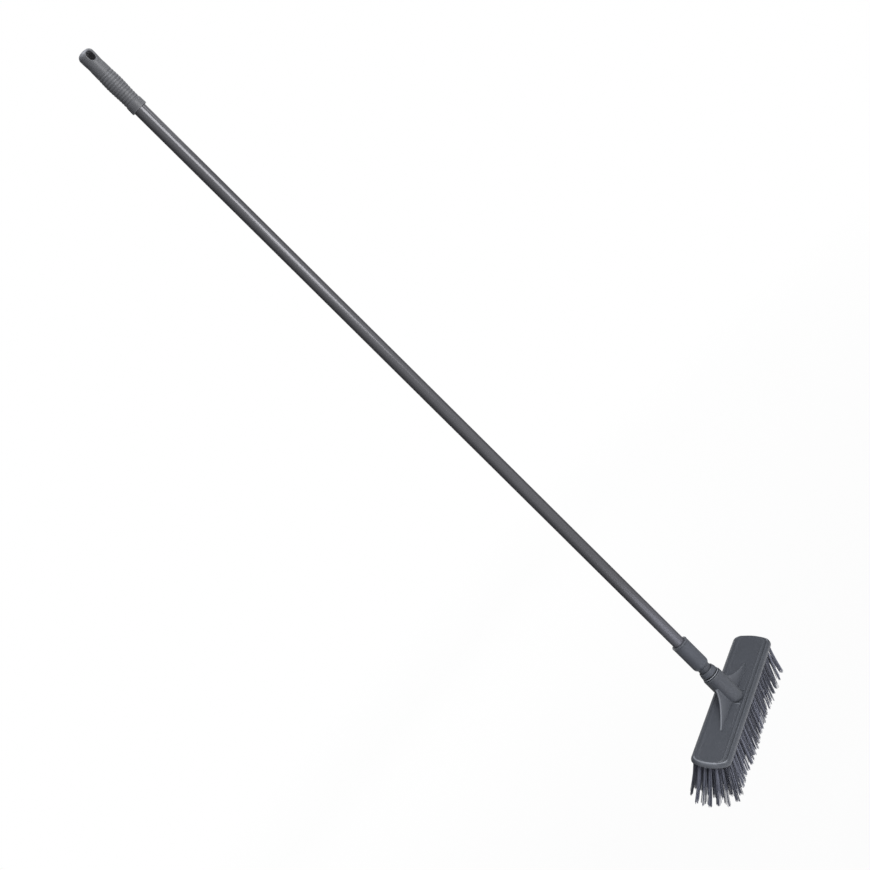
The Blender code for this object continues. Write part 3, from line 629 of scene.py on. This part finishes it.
WEB_FILLET = 2.2 * MM
WEB_FILLET_STEPS = 6
WEB_LIP = 0.8 * MM
WEB_SINK = 3.0 * MM
WEB_SAG = 1.6 * MM
WEB_SAG_REACH = 50.0 * MM
WEB_RIDGE_HIGHLIGHT_NEAR = 0.9
WEB_RIDGE_HIGHLIGHT_FAR = 0.05
PAD_START = 16.0 * MM
PAD_REACH = 83.0 * MM
PAD_HEIGHT = 2.0 * MM
PAD_END_DEPTH = 0.4 * MM
PAD_SINK = 3.2 * MM
PAD_STATIONS = 30
PAD_EDGE_HIGHLIGHT_NEAR = 0.7
PAD_EDGE_HIGHLIGHT_FAR = 0.25
PAD_CREASE_SHADE = -0.5
HEAD_DARK = (0.058, 0.064, 0.076)
HEAD_LIGHT = (0.076, 0.082, 0.097)
# Pale colour for the head's rubbed edges and painted highlights.
HEAD_RUB_AND_HIGHLIGHT = (0.36, 0.38, 0.42)

# Loops of the block from the rim's foot to the deck, in millimetres: how far each is drawn in, its
# height along the sides and at the ends, the relief of bead and groove, and a painted mark: light
# painted up the flared side and on the bead, shade painted in the groove.
FLARED_SIDE = (
    (1.2, -9.0, -9.0, 0, 0),
    (0.5, -8.9, -8.9, 0, 0.05),
    (0.1, -8.5, -8.5, 0, 0.1),
    (0.0, -8.1, -8.1, 0, 0.15),
    (0.0, -7.6, -7.6, 0, 0.2),
    (0.05, -7.0, -7.3, 0, 0.3),
    (0.25, -6.0, -6.7, 0, 0.2),
    (0.7, -4.7, -5.6, 0, 0.14),
    (1.4, -3.3, -4.4, 0, 0.08),
    (2.4, -2.1, -3.3, 0, 0),
    (3.4, -1.3, -2.5, 0, 0),
    (4.1, -0.85, -2.1, 0, 0),
)
ROLLED_EDGE = (
    (4.6, -0.5, -1.6, 0, 0.05),
    (5.1, -0.2, -1.2, 0, 0.1),
    (5.7, 0, -0.87, 0, 0.1),
    (6.2, 0, -0.64, 0, 0),
    (6.6, 0, -0.48, -0.15, -0.1),
)
GROOVE_AND_BEAD = (
    (7.1, 0, -0.33, -0.5, -0.3),
    (7.6, 0, -0.2, -0.7, -0.4),
    (8.1, 0, -0.11, -0.5, -0.3),
    (8.7, 0, -0.04, -0.15, -0.1),
    (9.2, 0, 0, 0, 0),
    (10.4, 0, 0, 0, 0),
    (10.9, 0, 0, 0.15, 0),
    (11.5, 0, 0, 0.5, 0.1),
    (12.0, 0, 0, 0.65, 0.15),
    (12.6, 0, 0, 0.5, 0.1),
    (13.2, 0, 0, 0.15, 0),
    (13.7, 0, 0, 0, -0.1),
    (15.5, 0, 0, 0, 0),
)
# A web's ridge, in millimetres: the way out from the socket and the height along the pole.
WEB_RIDGE = ((0, 36), (3.9, 31), (10.3, 24.5), (19.4, 18.4), (29.7, 13.3), (40, 9), (50.3, 5), (64.5, -0.4))
# A pad's section at the socket, in millimetres: the way across the deck and the drop below its top.
# The part within the crease's width is painted with shade, as a dark crease beside the web.
PAD_SECTION = ((2.0, 3.0), (2.8, 1.6), (3.8, 0.3), (4.8, 0), (14.6, 0), (15.4, 0.25), (16.4, 1.4))
PAD_CREASE_WIDTH = 4.0

DECK_POINT = SOCKET_MOUTH - SOCKET_LENGTH
head_turned = Matrix.Rotation(HEAD_TURN, 4, "Z") @ Matrix.Rotation(POLE_TILT, 4, "X")
head_place = Matrix.Translation((0, 0, DECK_POINT)) @ head_turned
lean_place = Matrix.Rotation(-POLE_TILT, 3, "X")


def head_outline(inset):
    """Plan of the head drawn in from its rim: bowed ends, round corners and long straight sides."""
    half_width = HALF_WIDTH - inset
    half_length = HALF_LENGTH - inset * END_INSET_SHARE
    corner = CORNER_RADIUS - inset * CORNER_INSET_SHARE
    reach = math.sqrt((END_RADIUS - corner) ** 2 - (half_width - corner) ** 2)
    centre = Vector((half_length - END_RADIUS + reach, half_width - corner))
    bow = Vector((half_length - END_RADIUS, 0))
    turn = math.atan2(centre.y - bow.y, centre.x - bow.x)
    quarter = [Vector((centre.x * i / SIDE_STEPS, half_width)) for i in range(SIDE_STEPS)]
    for step in range(CORNER_STEPS + 1):
        angle = math.pi / 2 + (turn - math.pi / 2) * step / CORNER_STEPS
        quarter.append(centre + corner * Vector((math.cos(angle), math.sin(angle))))
    for step in range(1, END_STEPS + 1):
        angle = turn * (1 - step / END_STEPS)
        quarter.append(bow + END_RADIUS * Vector((math.cos(angle), math.sin(angle))))
    half = quarter + [Vector((p.x, -p.y)) for p in reversed(quarter[:-1])]
    return half + [Vector((-p.x, p.y)) for p in reversed(half[1:-1])]


def rubbed_edge_highlight(point, side_share):
    """How far the rolled edge is rubbed and painted as a highlight: the bowed ends, and round the corners,
    most on the near side.
    """
    corner = eased(abs(point.x), HALF_LENGTH - CORNER_HIGHLIGHT_FROM, HALF_LENGTH - CORNER_HIGHLIGHT_FULL)
    if point.y < 0:
        corner = max(1 - side_share, CORNER_RUBBED_HIGHLIGHT * corner)
    return min(1 - side_share * SIDE_HIGHLIGHT_CUT, corner)


def block_shell():
    """Loops drawn in from the rim; bead and groove fade out across the bowed ends, whose walls are painted
    paler as light.
    """
    bm = bmesh.new()
    wear_and_painted_light = bm.verts.layers.float.new("wear_and_painted_light")
    loops = []
    bands = ((FLARED_SIDE, END_PAINTED_LIGHT, 0), (ROLLED_EDGE, 0, 1), (GROOVE_AND_BEAD, 0, 0))
    for sections, end_light, rolled in bands:
        for inset, side_height, end_height, relief, marked in sections:
            loop = []
            for point in head_outline(inset * MM):
                share = eased(abs(point.y) / (HALF_WIDTH - inset * MM), RELIEF_FROM, RELIEF_FULL)
                depth_share = share * (RELIEF_AT_BACK if point.y > 0 else 1)
                up = (side_height * share + end_height * (1 - share) + relief * depth_share) * MM
                vert = bm.verts.new((point.x, point.y + AXIS_OFFSET, up))
                # Painted light on the bowed ends' walls, and a painted highlight on the rolled edge.
                rubbed = end_light * (1 - share) + rolled * rubbed_edge_highlight(point, share)
                vert[wear_and_painted_light] = marked * depth_share + rubbed
                loop.append(vert)
            loops.append(loop)
    skin(bm, loops)
    return bm


def socket_body():
    """The leaning socket: round lower end, plain side, thin groove and rim; rim painted as a highlight,
    groove, mouth and near foot painted with shade.
    """
    points = []
    for step in range(SOCKET_BALL_STEPS):
        angle = math.pi / 2 * step / SOCKET_BALL_STEPS
        points.append((SOCKET_RADIUS * math.sin(angle), -SOCKET_RADIUS * math.cos(angle)))
    edge_top = SOCKET_LENGTH - SOCKET_GROOVE_DOWN
    groove_foot = edge_top + SOCKET_EDGE
    groove_top = groove_foot + SOCKET_GROOVE_WIDTH
    for step in range(SOCKET_SIDE_STEPS + 1):
        points.append((SOCKET_RADIUS, (edge_top - SOCKET_EDGE) * step / SOCKET_SIDE_STEPS, 0.04))
    # Painted highlight on the rim, painted shade in the groove and inside the mouth.
    points += [
        (SOCKET_RADIUS - SOCKET_EDGE, groove_foot - 0.3 * MM, 0.3),
        (SOCKET_RADIUS - 0.9 * MM, groove_foot - 0.1 * MM, -0.8),
        (SOCKET_GROOVE_RADIUS, groove_foot, -1),
        (SOCKET_GROOVE_RADIUS, groove_top, -1),
        (SOCKET_RIM_RADIUS - SOCKET_RIM_EDGE, groove_top + 0.1 * MM, 0.6),
        (SOCKET_RIM_RADIUS, groove_top + 0.4 * MM, 1),
        (SOCKET_RIM_RADIUS, SOCKET_LENGTH - 0.4 * MM, 1),
        (SOCKET_RIM_RADIUS - SOCKET_RIM_EDGE, SOCKET_LENGTH, 0.6),
        (SOCKET_RIM_RADIUS - 1.6 * MM, SOCKET_LENGTH, -0.6),
        (0, SOCKET_LENGTH),
    ]
    bm = turned(points)
    bmesh.ops.rotate(bm, verts=bm.verts, matrix=lean_place)
    wear_and_painted_light = bm.verts.layers.float["wear_and_painted_light"]
    # Painted shade on the near side of the socket's foot, where it meets the deck.
    for vert in bm.verts:
        if vert.co.z < SOCKET_SHADE_HEIGHT:
            low = 1 - eased(vert.co.z, SOCKET_SHADE_FROM, SOCKET_SHADE_HEIGHT)
            vert[wear_and_painted_light] = SOCKET_SHADE * eased(-vert.co.x, 0, SOCKET_SHADE_REACH) * low
    geometry = bm.verts[:] + bm.edges[:] + bm.faces[:]
    level = Vector((0, 0, -SOCKET_SINK))
    bmesh.ops.bisect_plane(bm, geom=geometry, plane_co=level, plane_no=(0, 0, 1), clear_inner=True)
    bmesh.ops.holes_fill(bm, edges=[edge for edge in bm.edges if edge.is_boundary])
    return make_piece("socket", bm)


def web_height(out):
    """Height of a web's ridge, measured along the pole, at a distance out from the socket."""
    for (near, high), (far, low) in zip(WEB_RIDGE, WEB_RIDGE[1:]):
        if out <= far * MM:
            share = max(out / MM - near, 0) / (far - near)
            return (high + (low - high) * share) * MM
    return WEB_RIDGE[-1][1] * MM


def web_section(side, out):
    """Half of a web's section at a distance out from the socket: half thickness, height and a painted
    highlight on the ridge.
    """
    ridge = web_height(out)
    if side > 0:
        ridge -= WEB_SAG * math.sin(math.pi * min(out / WEB_SAG_REACH, 1))
    near = max(WEB_FILLET - out, 0)
    root = WEB_HALF_THICKNESS + WEB_FILLET - math.sqrt(max(WEB_FILLET ** 2 - near ** 2, 0))
    squeeze = min((ridge + WEB_LIP) / (WEB_FILLET + WEB_LIP), 1)
    fillet = WEB_FILLET * squeeze
    section = [(root + fillet, -WEB_SINK, 0)]
    for step in range(WEB_FILLET_STEPS):
        turn = math.pi / 2 * step / WEB_FILLET_STEPS
        section.append((root + fillet * (1 - math.sin(turn)), fillet * (1 - math.cos(turn)), 0))
    top = ridge + WEB_LIP * (1 - squeeze)
    section.append((root, max(top - WEB_RIDGE_ROUNDING, fillet), 0.2))
    # Painted highlight along the ridge: bright on the near web, faint on the far one.
    rubbed = WEB_RIDGE_HIGHLIGHT_NEAR if side < 0 else WEB_RIDGE_HIGHLIGHT_FAR
    section.append((root - WEB_RIDGE_EDGE, max(top, fillet + WEB_LEAST_RISE), rubbed))
    return section


def web_body(side):
    """One web: a thin wall in the socket's leaning plane with fillets at the deck and the socket."""
    bm = bmesh.new()
    wear_and_painted_light = bm.verts.layers.float.new("wear_and_painted_light")
    rows = []
    for i in range(WEB_STATIONS + 1):
        reach = WEB_START + (WEB_REACH - WEB_START) * i / WEB_STATIONS
        section = web_section(side, max(reach - SOCKET_RADIUS, 0))
        mirrored = [(-half, height, marked) for half, height, marked in reversed(section)]
        row = []
        for half, height, marked in section + mirrored:
            vert = bm.verts.new((side * reach, half, height))
            vert[wear_and_painted_light] = marked
            row.append(vert)
        rows.append(row)
    skin(bm, rows)
    bmesh.ops.rotate(bm, verts=bm.verts, matrix=lean_place)
    return make_piece("web", bm)


def pad_body(side):
    """A low wedge beside the web: highest at its straight edge next to the socket, then fading."""
    bm = bmesh.new()
    wear_and_painted_light = bm.verts.layers.float.new("wear_and_painted_light")
    rows = []
    for i in range(PAD_STATIONS + 1):
        share = i / PAD_STATIONS
        reach = PAD_START + (PAD_REACH - PAD_START) * share
        height = PAD_HEIGHT * (1 - share) - PAD_END_DEPTH * share
        places = [(across, height - drop * (1 - share) * MM) for across, drop in PAD_SECTION]
        row = []
        for across, up in places + [(PAD_SECTION[-1][0], -PAD_SINK), (PAD_SECTION[0][0], -PAD_SINK)]:
            vert = bm.verts.new((side * reach, -across * MM, up))
            # Painted highlight on the pad's top edge by the socket, painted shade in the crease beside the
            # web.
            if i == 0 and up > 0:
                vert[wear_and_painted_light] = PAD_EDGE_HIGHLIGHT_NEAR if side < 0 else PAD_EDGE_HIGHLIGHT_FAR
            elif across < PAD_CREASE_WIDTH:
                vert[wear_and_painted_light] = PAD_CREASE_SHADE * (1 - share)
            row.append(vert)
        rows.append(row)
    skin(bm, rows)
    return make_piece("pad", bm)


def bore_tools():
    """The threaded bore, as a plain bore and a screw ridge, both with running clearance."""
    minor = THREAD_CORE + RUN_CLEARANCE
    major = THREAD_CREST + RUN_CLEARANCE
    above = SOCKET_LENGTH + BORE_MARGIN
    points = [(0, above), (major + BORE_MARGIN, above), (major, SOCKET_LENGTH)]
    points += [(minor, SOCKET_LENGTH - (major - minor)), (minor, SOCKET_LENGTH - BORE_DEPTH)]
    points.append((0, SOCKET_LENGTH - BORE_DEPTH))
    plain = make_piece("bore", turned(points))
    screw = thread_ridge(SOCKET_LENGTH, SOCKET_TURNS, RUN_CLEARANCE)
    for tool in (plain, screw):
        tool.matrix_world = Matrix.Translation((0, 0, DECK_POINT))
    return plain, screw


head_plastic = moulded_finish("head_plastic", (HEAD_DARK, HEAD_LIGHT, HEAD_RUB_AND_HIGHLIGHT), 0.40, 1300)
head = make_piece("head", block_shell(), head_plastic)
additions = [socket_body(), web_body(1), web_body(-1), pad_body(1), pad_body(-1)]
for addition in [head] + additions:
    addition.matrix_world = head_place
carve(head, [(tool, "UNION") for tool in additions] + [(tool, "DIFFERENCE") for tool in bore_tools()])
head.data.transform(head_place)
head.matrix_world = Matrix.Identity(4)
head.data.shade_smooth()
head.data.set_sharp_from_angle(angle=math.radians(35))
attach(head, "head")
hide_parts("head_block")


# Bristles: seven long rows of separate tufts of stiff plastic filaments, each tuft held in its own
# hole. They splay outwards at the sides and the ends, and their tips are trimmed to one level.
ROW_TOTAL = 7
ROW_STEP = 9.0 * MM
TUFT_STEP = 12.0 * MM
END_MARGIN = 8.0 * MM
BRISTLE_DEPTH = 74.0 * MM
BRISTLE_SEAT = 0.4 * MM
FILAMENTS = 22
BUNDLES = 5
BUNDLE_TONES = (0.14, 0.34, 0.66, 0.84)
FILAMENT_RADIUS = 0.55 * MM
FILAMENT_TAPER = 0.30
FILAMENT_JOINTS = 6
TUFT_ROOT = 2.0 * MM
TUFT_TIP = 4.0 * MM
LEAN_ACROSS = 0.145
LEAN_ALONG = 0.32
BENT_ACROSS = 0.05
LEAN_POWER = 6
BENT_POWER = 8
OUTER_ROWS_UPRIGHT = 0.4
STRAY_ACROSS = 0.012
STRAY_ALONG = 0.014
END_LOOSENESS = 0.8
TRIM_SPREAD = 0.5 * MM
BUNDLE_DRIFT = 1.1 * MM
BUNDLE_SHORTER = 2.4 * MM
RAGGED_END = 1.0 * MM
LOOSE_END = 3.0 * MM
TIP_DRIFT = 0.35 * MM
SAG_DRIFT = 0.2 * MM
SAG_SHARE = 0.06
TUFT_TONE_SPREAD = 0.10
FILAMENT_TONE_SPREAD = 0.06
GOLDEN_ANGLE = 2.39996
BRISTLE_DARK = (0.042, 0.045, 0.060)
BRISTLE_LIGHT = (0.235, 0.248, 0.312)
BRISTLE_TIP = (0.24, 0.245, 0.28)
BRISTLE_ROOT_SHADE = (0.022, 0.023, 0.029)
draw = random.Random(7)


def row_reach(offset):
    """Place of a row's last tuft along the head."""
    inner = HALF_WIDTH - CORNER_RADIUS
    reach = math.sqrt((END_RADIUS - CORNER_RADIUS) ** 2 - inner ** 2)
    if abs(offset) > inner * END_RADIUS / (END_RADIUS - CORNER_RADIUS):
        corner = math.sqrt(CORNER_RADIUS ** 2 - (abs(offset) - inner) ** 2)
        return HALF_LENGTH - END_RADIUS + reach + corner - END_MARGIN
    return HALF_LENGTH - END_RADIUS + math.sqrt(END_RADIUS ** 2 - offset ** 2) - END_MARGIN


def scatter(spread):
    """A small random step along and across the head."""
    return Vector((draw.gauss(0, spread), draw.gauss(0, spread), 0))


def filament(bm, layers, root, tip, sag, shade_value):
    """One stiff filament: four sides, a slight bend, a cut tip."""
    tone, along = layers
    rows = []
    for joint in range(FILAMENT_JOINTS + 1):
        share = joint / FILAMENT_JOINTS
        centre = root.lerp(tip, share) + sag * (4 * share * (1 - share))
        radius = FILAMENT_RADIUS * (1 - FILAMENT_TAPER * share)
        row = []
        for corner in range(4):
            angle = math.pi / 2 * corner
            vert = bm.verts.new(centre + Vector((radius * math.cos(angle), radius * math.sin(angle), 0)))
            vert[tone] = shade_value
            vert[along] = share
            row.append(vert)
        rows.append(row)
    skin(bm, rows)


def tuft_lean(x, offset):
    """How far a tuft leans along and across the head for each unit of its depth, most at the ends."""
    side = offset / (ROW_STEP * (ROW_TOTAL - 1) / 2)
    end_share = abs(x) / row_reach(0)
    outward = LEAN_ALONG * end_share ** LEAN_POWER * (1 - OUTER_ROWS_UPRIGHT * side * side)
    along = math.copysign(outward, x)
    across = LEAN_ACROSS * side
    if x < 0:
        across += BENT_ACROSS * end_share ** BENT_POWER * (1 + side)
    loose = 1 + END_LOOSENESS * end_share ** LEAN_POWER
    return along + draw.gauss(0, STRAY_ALONG) * loose, across + draw.gauss(0, STRAY_ACROSS) * loose


def tuft(bm, layers, x, offset):
    """One tuft: filaments packed in its hole that fan out in small bundles towards their tips."""
    along, across = tuft_lean(x, offset)
    tuft_tone = draw.uniform(-TUFT_TONE_SPREAD, TUFT_TONE_SPREAD)
    depth = BRISTLE_DEPTH - abs(draw.gauss(0, TRIM_SPREAD))
    bundles = []
    for _ in range(BUNDLES):
        drift = scatter(BUNDLE_DRIFT)
        shorter = abs(draw.gauss(0, BUNDLE_SHORTER))
        bundles.append((drift, shorter, draw.choice(BUNDLE_TONES) + tuft_tone))
    for number in range(FILAMENTS):
        angle = number * GOLDEN_ANGLE
        spread = math.sqrt((number + 0.5) / FILAMENTS)
        way = Vector((math.cos(angle), math.sin(angle), 0)) * spread
        drift, shorter, pale = bundles[int(BUNDLES * angle / (2 * math.pi)) % BUNDLES]
        ragged = abs(draw.gauss(0, RAGGED_END)) + LOOSE_END * spread ** 2 * draw.random()
        length = depth - shorter * spread - ragged
        root = Vector((x, offset + AXIS_OFFSET, BRISTLE_SEAT - BLOCK_DEPTH)) + way * TUFT_ROOT
        tip = Vector((x + along * length, offset + AXIS_OFFSET + across * length, -BLOCK_DEPTH - length))
        tip += way * TUFT_TIP + drift + scatter(TIP_DRIFT)
        sag = Vector((along, across, 0)) * -length * SAG_SHARE + scatter(SAG_DRIFT)
        tone = pale + draw.uniform(-FILAMENT_TONE_SPREAD, FILAMENT_TONE_SPREAD)
        filament(bm, layers, root, tip, sag, tone)


def bristle_finish():
    """Extruded filament: each one a little lighter or darker, painted shade at the root under the head,
    paler cut tips.
    """
    finish, surface, shade = new_finish("bristle_plastic", {"IOR": 1.48})
    tone = shade.mark("tone")
    along = shade.mark("along")
    streak = shade.noise(500, detail=2.0).between(0.3, 0.7)
    colour = (tone * 0.85 + streak * 0.15).clamped().tint(BRISTLE_DARK, BRISTLE_LIGHT)
    colour = (along.between(0.90, 1.0) * 0.30).tint(colour, BRISTLE_TIP)
    # Painted shade near the roots, under the head.
    colour = ((1 - along.between(0.0, 0.22)) * 0.65).tint(colour, BRISTLE_ROOT_SHADE)
    roughness = 0.38 + streak * 0.12
    connect(surface, shade, {"Base Color": colour, "Roughness": roughness}, bump=streak, bump_height=0.00003)
    return finish


bristle_plastic = bristle_finish()
for row in range(ROW_TOTAL):
    offset = ROW_STEP * (row - (ROW_TOTAL - 1) / 2)
    reach = row_reach(offset)
    tufts = round(2 * reach / TUFT_STEP) + 1
    row_mesh = bmesh.new()
    layers = [row_mesh.verts.layers.float.new(name) for name in ("tone", "along")]
    for number in range(tufts):
        tuft(row_mesh, layers, -reach + 2 * reach * number / (tufts - 1), offset)
    tuft_row = make_piece(f"tuft_row_{row + 1}", row_mesh, bristle_plastic, sharp=math.radians(60))
    tuft_row.data.transform(head_place)
    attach(tuft_row, "head")
    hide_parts(f"bristle_row_{row + 1}")


# Floor: a plain pale floor some way below the hanging brush, so that only a soft shadow falls on it.
# It shows white to the camera and in reflections, and keeps the shadow.
FLOOR_HEIGHT = -1.85
FLOOR_SIZE = 40.0
FLOOR_DARK = (0.80, 0.80, 0.80)
FLOOR_LIGHT = (0.82, 0.82, 0.82)
WHITE_SHARE = 0.94
WHITE_FROM = 0.8
WHITE_FULL = 3.5


def floor_finish():
    """Matt white that shows its shadow near the brush and is pure white further off."""
    finish, surface, shade = new_finish("floor_white", {"Roughness": 0.9, "Specular IOR Level": 0.0})
    grain = shade.noise(3, detail=2.0).between(0.2, 0.8)
    connect(surface, shade, {"Base Color": grain.tint(FLOOR_DARK, FLOOR_LIGHT)})
    rays = shade.node("ShaderNodeLightPath", {}, {}, out="Is Camera Ray")
    rays += shade.node("ShaderNodeLightPath", {}, {}, out="Is Glossy Ray")
    rays += shade.node("ShaderNodeLightPath", {}, {}, out="Is Transmission Ray")
    glow = shade.node("ShaderNodeEmission", {}, {"Color": (1, 1, 1, 1), "Strength": 1.0})
    length = {"operation": "LENGTH"}
    distance = shade.node("ShaderNodeVectorMath", length, {0: shade.place()}, out="Value")
    far_off = distance.between(WHITE_FROM, WHITE_FULL)
    share = rays.clamped() * (WHITE_SHARE + far_off * (1 - WHITE_SHARE))
    matt = Shade(shade.tree, surface.outputs[0])
    shown = shade.node("ShaderNodeMixShader", {}, {"Fac": share, 1: matt, 2: glow})
    shade.tree.links.new(shown.socket, shade.tree.nodes["Material Output"].inputs["Surface"])
    return finish


floor_mesh = bmesh.new()
bmesh.ops.create_grid(floor_mesh, x_segments=4, y_segments=4, size=FLOOR_SIZE / 2)
floor = make_piece("floor", floor_mesh, floor_finish())
floor.location = (0, 0, FLOOR_HEIGHT)


# Light: soft boxes. A large one near the camera draws the long highlight on the pole, weaker ones on
# the right and close by lift the head, the grip and its tip, and one behind lights the back. A long
# low one with a blue tinge gives the pole's foot and the head's near end their sheen.
BLUE_TINGE = (0.88, 0.90, 1.0)
SKY_TINGE = (0.90, 0.93, 1.0)


def soft_box(name, place, target, size, power, colour=(1, 1, 1), shape="RECTANGLE"):
    """A lamp with a broad face that points at a target; the camera doesn't see it."""
    data = bpy.data.lights.new(name, "AREA")
    data.shape = shape
    data.size, data.size_y = size
    data.energy = power
    data.color = colour
    lamp = bpy.data.objects.new(name, data)
    bpy.context.collection.objects.link(lamp)
    lamp.location = place
    lamp.rotation_euler = (Vector(target) - Vector(place)).to_track_quat("-Z", "Y").to_euler()
    lamp.visible_camera = False


def ring_place(azimuth, distance, height):
    """A place round the pole, by the direction from the pole."""
    angle = math.radians(azimuth)
    return (distance * math.cos(angle), distance * math.sin(angle), height)


place = ring_place(azimuth=-83.5, distance=2.6, height=0.25)
soft_box("main_light", place, target=(0, 0, 0.25), size=(1.6, 2.3), power=60, shape="ELLIPSE")
place = ring_place(azimuth=-46, distance=3.0, height=-0.9)
soft_box("right_light", place, target=(0, 0, -0.9), size=(1.6, 1.6), power=1.0)
place = (-0.2, -0.85, -0.5)
soft_box("near_light", place, target=(-0.05, 0, -1.45), size=(0.4, 0.4), power=1.8)
place = ring_place(azimuth=-35, distance=1.2, height=0.15)
soft_box("grip_light", place, target=(0, 0, 0), size=(0.3, 0.3), power=1.5)
place = (0.05, -0.1, 0.75)
soft_box("tip_light", place, target=(0, 0, 0), size=(0.65, 0.65), power=9, colour=SKY_TINGE)
place = ring_place(azimuth=78, distance=2.6, height=-0.6)
soft_box("back_light", place, target=(0, 0, -0.8), size=(1.6, 1.6), power=30)
place = ring_place(azimuth=-108, distance=1.2, height=-1.76)
soft_box("low_light", place, target=(0, 0, -1.3), size=(1.3, 0.16), power=2.1, colour=BLUE_TINGE)


# Dark cards: curved boards that stand behind the brush on its left and right, out of the camera's sight.
# They are only seen in reflections, where they shade both sides of the pole, and pale towards the front.
CARD_DISTANCE = 0.85


def card_finish(name, dark, pale):
    """Felt that looks the same in any light: dark at the back and paler towards the front."""
    steady = {
        "Base Color": (0, 0, 0, 1),
        "Roughness": 0.95,
        "Specular IOR Level": 0.0,
        "Emission Strength": 1.0,
    }
    finish, surface, shade = new_finish(name, steady)
    felt = shade.noise(60, detail=3.0).between(0.3, 0.7)
    tone = (shade.mark("forward") + felt * 0.05).clamped().tint((dark,) * 3, (pale,) * 3)
    connect(surface, shade, {"Emission Color": tone})
    return finish


def dark_card(name, azimuths, heights, dark, pale):
    """A board curved round the pole, from the first direction to the second."""
    bm = bmesh.new()
    forward = bm.verts.layers.float.new("forward")
    bmesh.ops.create_grid(bm, x_segments=40, y_segments=12, size=0.5)
    for vert in bm.verts:
        share = vert.co.x + 0.5
        vert[forward] = eased(share, 0.5, 1.0)
        azimuth = azimuths[0] + (azimuths[1] - azimuths[0]) * share
        height = heights[0] + (heights[1] - heights[0]) * (vert.co.y + 0.5)
        vert.co = ring_place(azimuth, CARD_DISTANCE, height)
    card = make_piece(name, bm, card_finish(name, dark, pale))
    card.visible_camera = False
    card.visible_diffuse = False
    card.visible_shadow = False


dark_card("left_card", azimuths=(62, 213), heights=(-1.84, 0.85), dark=0.10, pale=0.62)
dark_card("right_card", azimuths=(60, -27), heights=(-1.75, -0.15), dark=0.25, pale=0.40)


# Room: an even grey light from all round, and white wherever the camera or a reflection looks past
# the floor.
ROOM_GREY = (0.24, 0.24, 0.248, 1)

world = bpy.data.worlds.new("studio")
bpy.context.scene.world = world
world.use_nodes = True
sky = Shade(world.node_tree)
background = world.node_tree.nodes["Background"]
background.inputs["Color"].default_value = ROOM_GREY
background.inputs["Strength"].default_value = 1.0
white = sky.node("ShaderNodeBackground", {}, {"Color": (1, 1, 1, 1), "Strength": 1.0})
white_rays = sky.node("ShaderNodeLightPath", {}, {}, out="Is Camera Ray")
white_rays += sky.node("ShaderNodeLightPath", {}, {}, out="Is Glossy Ray")
white_rays += sky.node("ShaderNodeLightPath", {}, {}, out="Is Transmission Ray")
even_light = Shade(sky.tree, background.outputs[0])
shown = sky.node("ShaderNodeMixShader", {}, {"Fac": white_rays.clamped(), 1: even_light, 2: white})
sky.tree.links.new(shown.socket, world.node_tree.nodes["World Output"].inputs["Surface"])


# Camera: where the photograph was taken from. It stands level with the pole's upper third, about two
# and a half metres away, and is rolled so that the pole runs from the upper left to the lower right.
CAMERA_PLACE = (-1.1404, -2.1877, -0.3318)
CAMERA_RIGHT = (0.5701, -0.4289, -0.7008)
CAMERA_UP = (0.6930, -0.2070, 0.6905)
FOCAL_PIXELS = 1572.9
FRAME_PIXELS = 870
SENSOR = 36.0

camera_data = bpy.data.cameras.new("camera")
camera_data.sensor_width = SENSOR
camera_data.lens = SENSOR * FOCAL_PIXELS / FRAME_PIXELS
camera_data.clip_start = 0.05
camera_data.clip_end = 200
camera = bpy.data.objects.new("camera", camera_data)
bpy.context.collection.objects.link(camera)
right = Vector(CAMERA_RIGHT).normalized()
back = right.cross(Vector(CAMERA_UP)).normalized()
turn = Matrix((right, back.cross(right), back)).transposed().to_4x4()
camera.matrix_world = Matrix.Translation(CAMERA_PLACE) @ turn
bpy.context.scene.camera = camera
bpy.context.scene.view_settings.view_transform = "Standard"
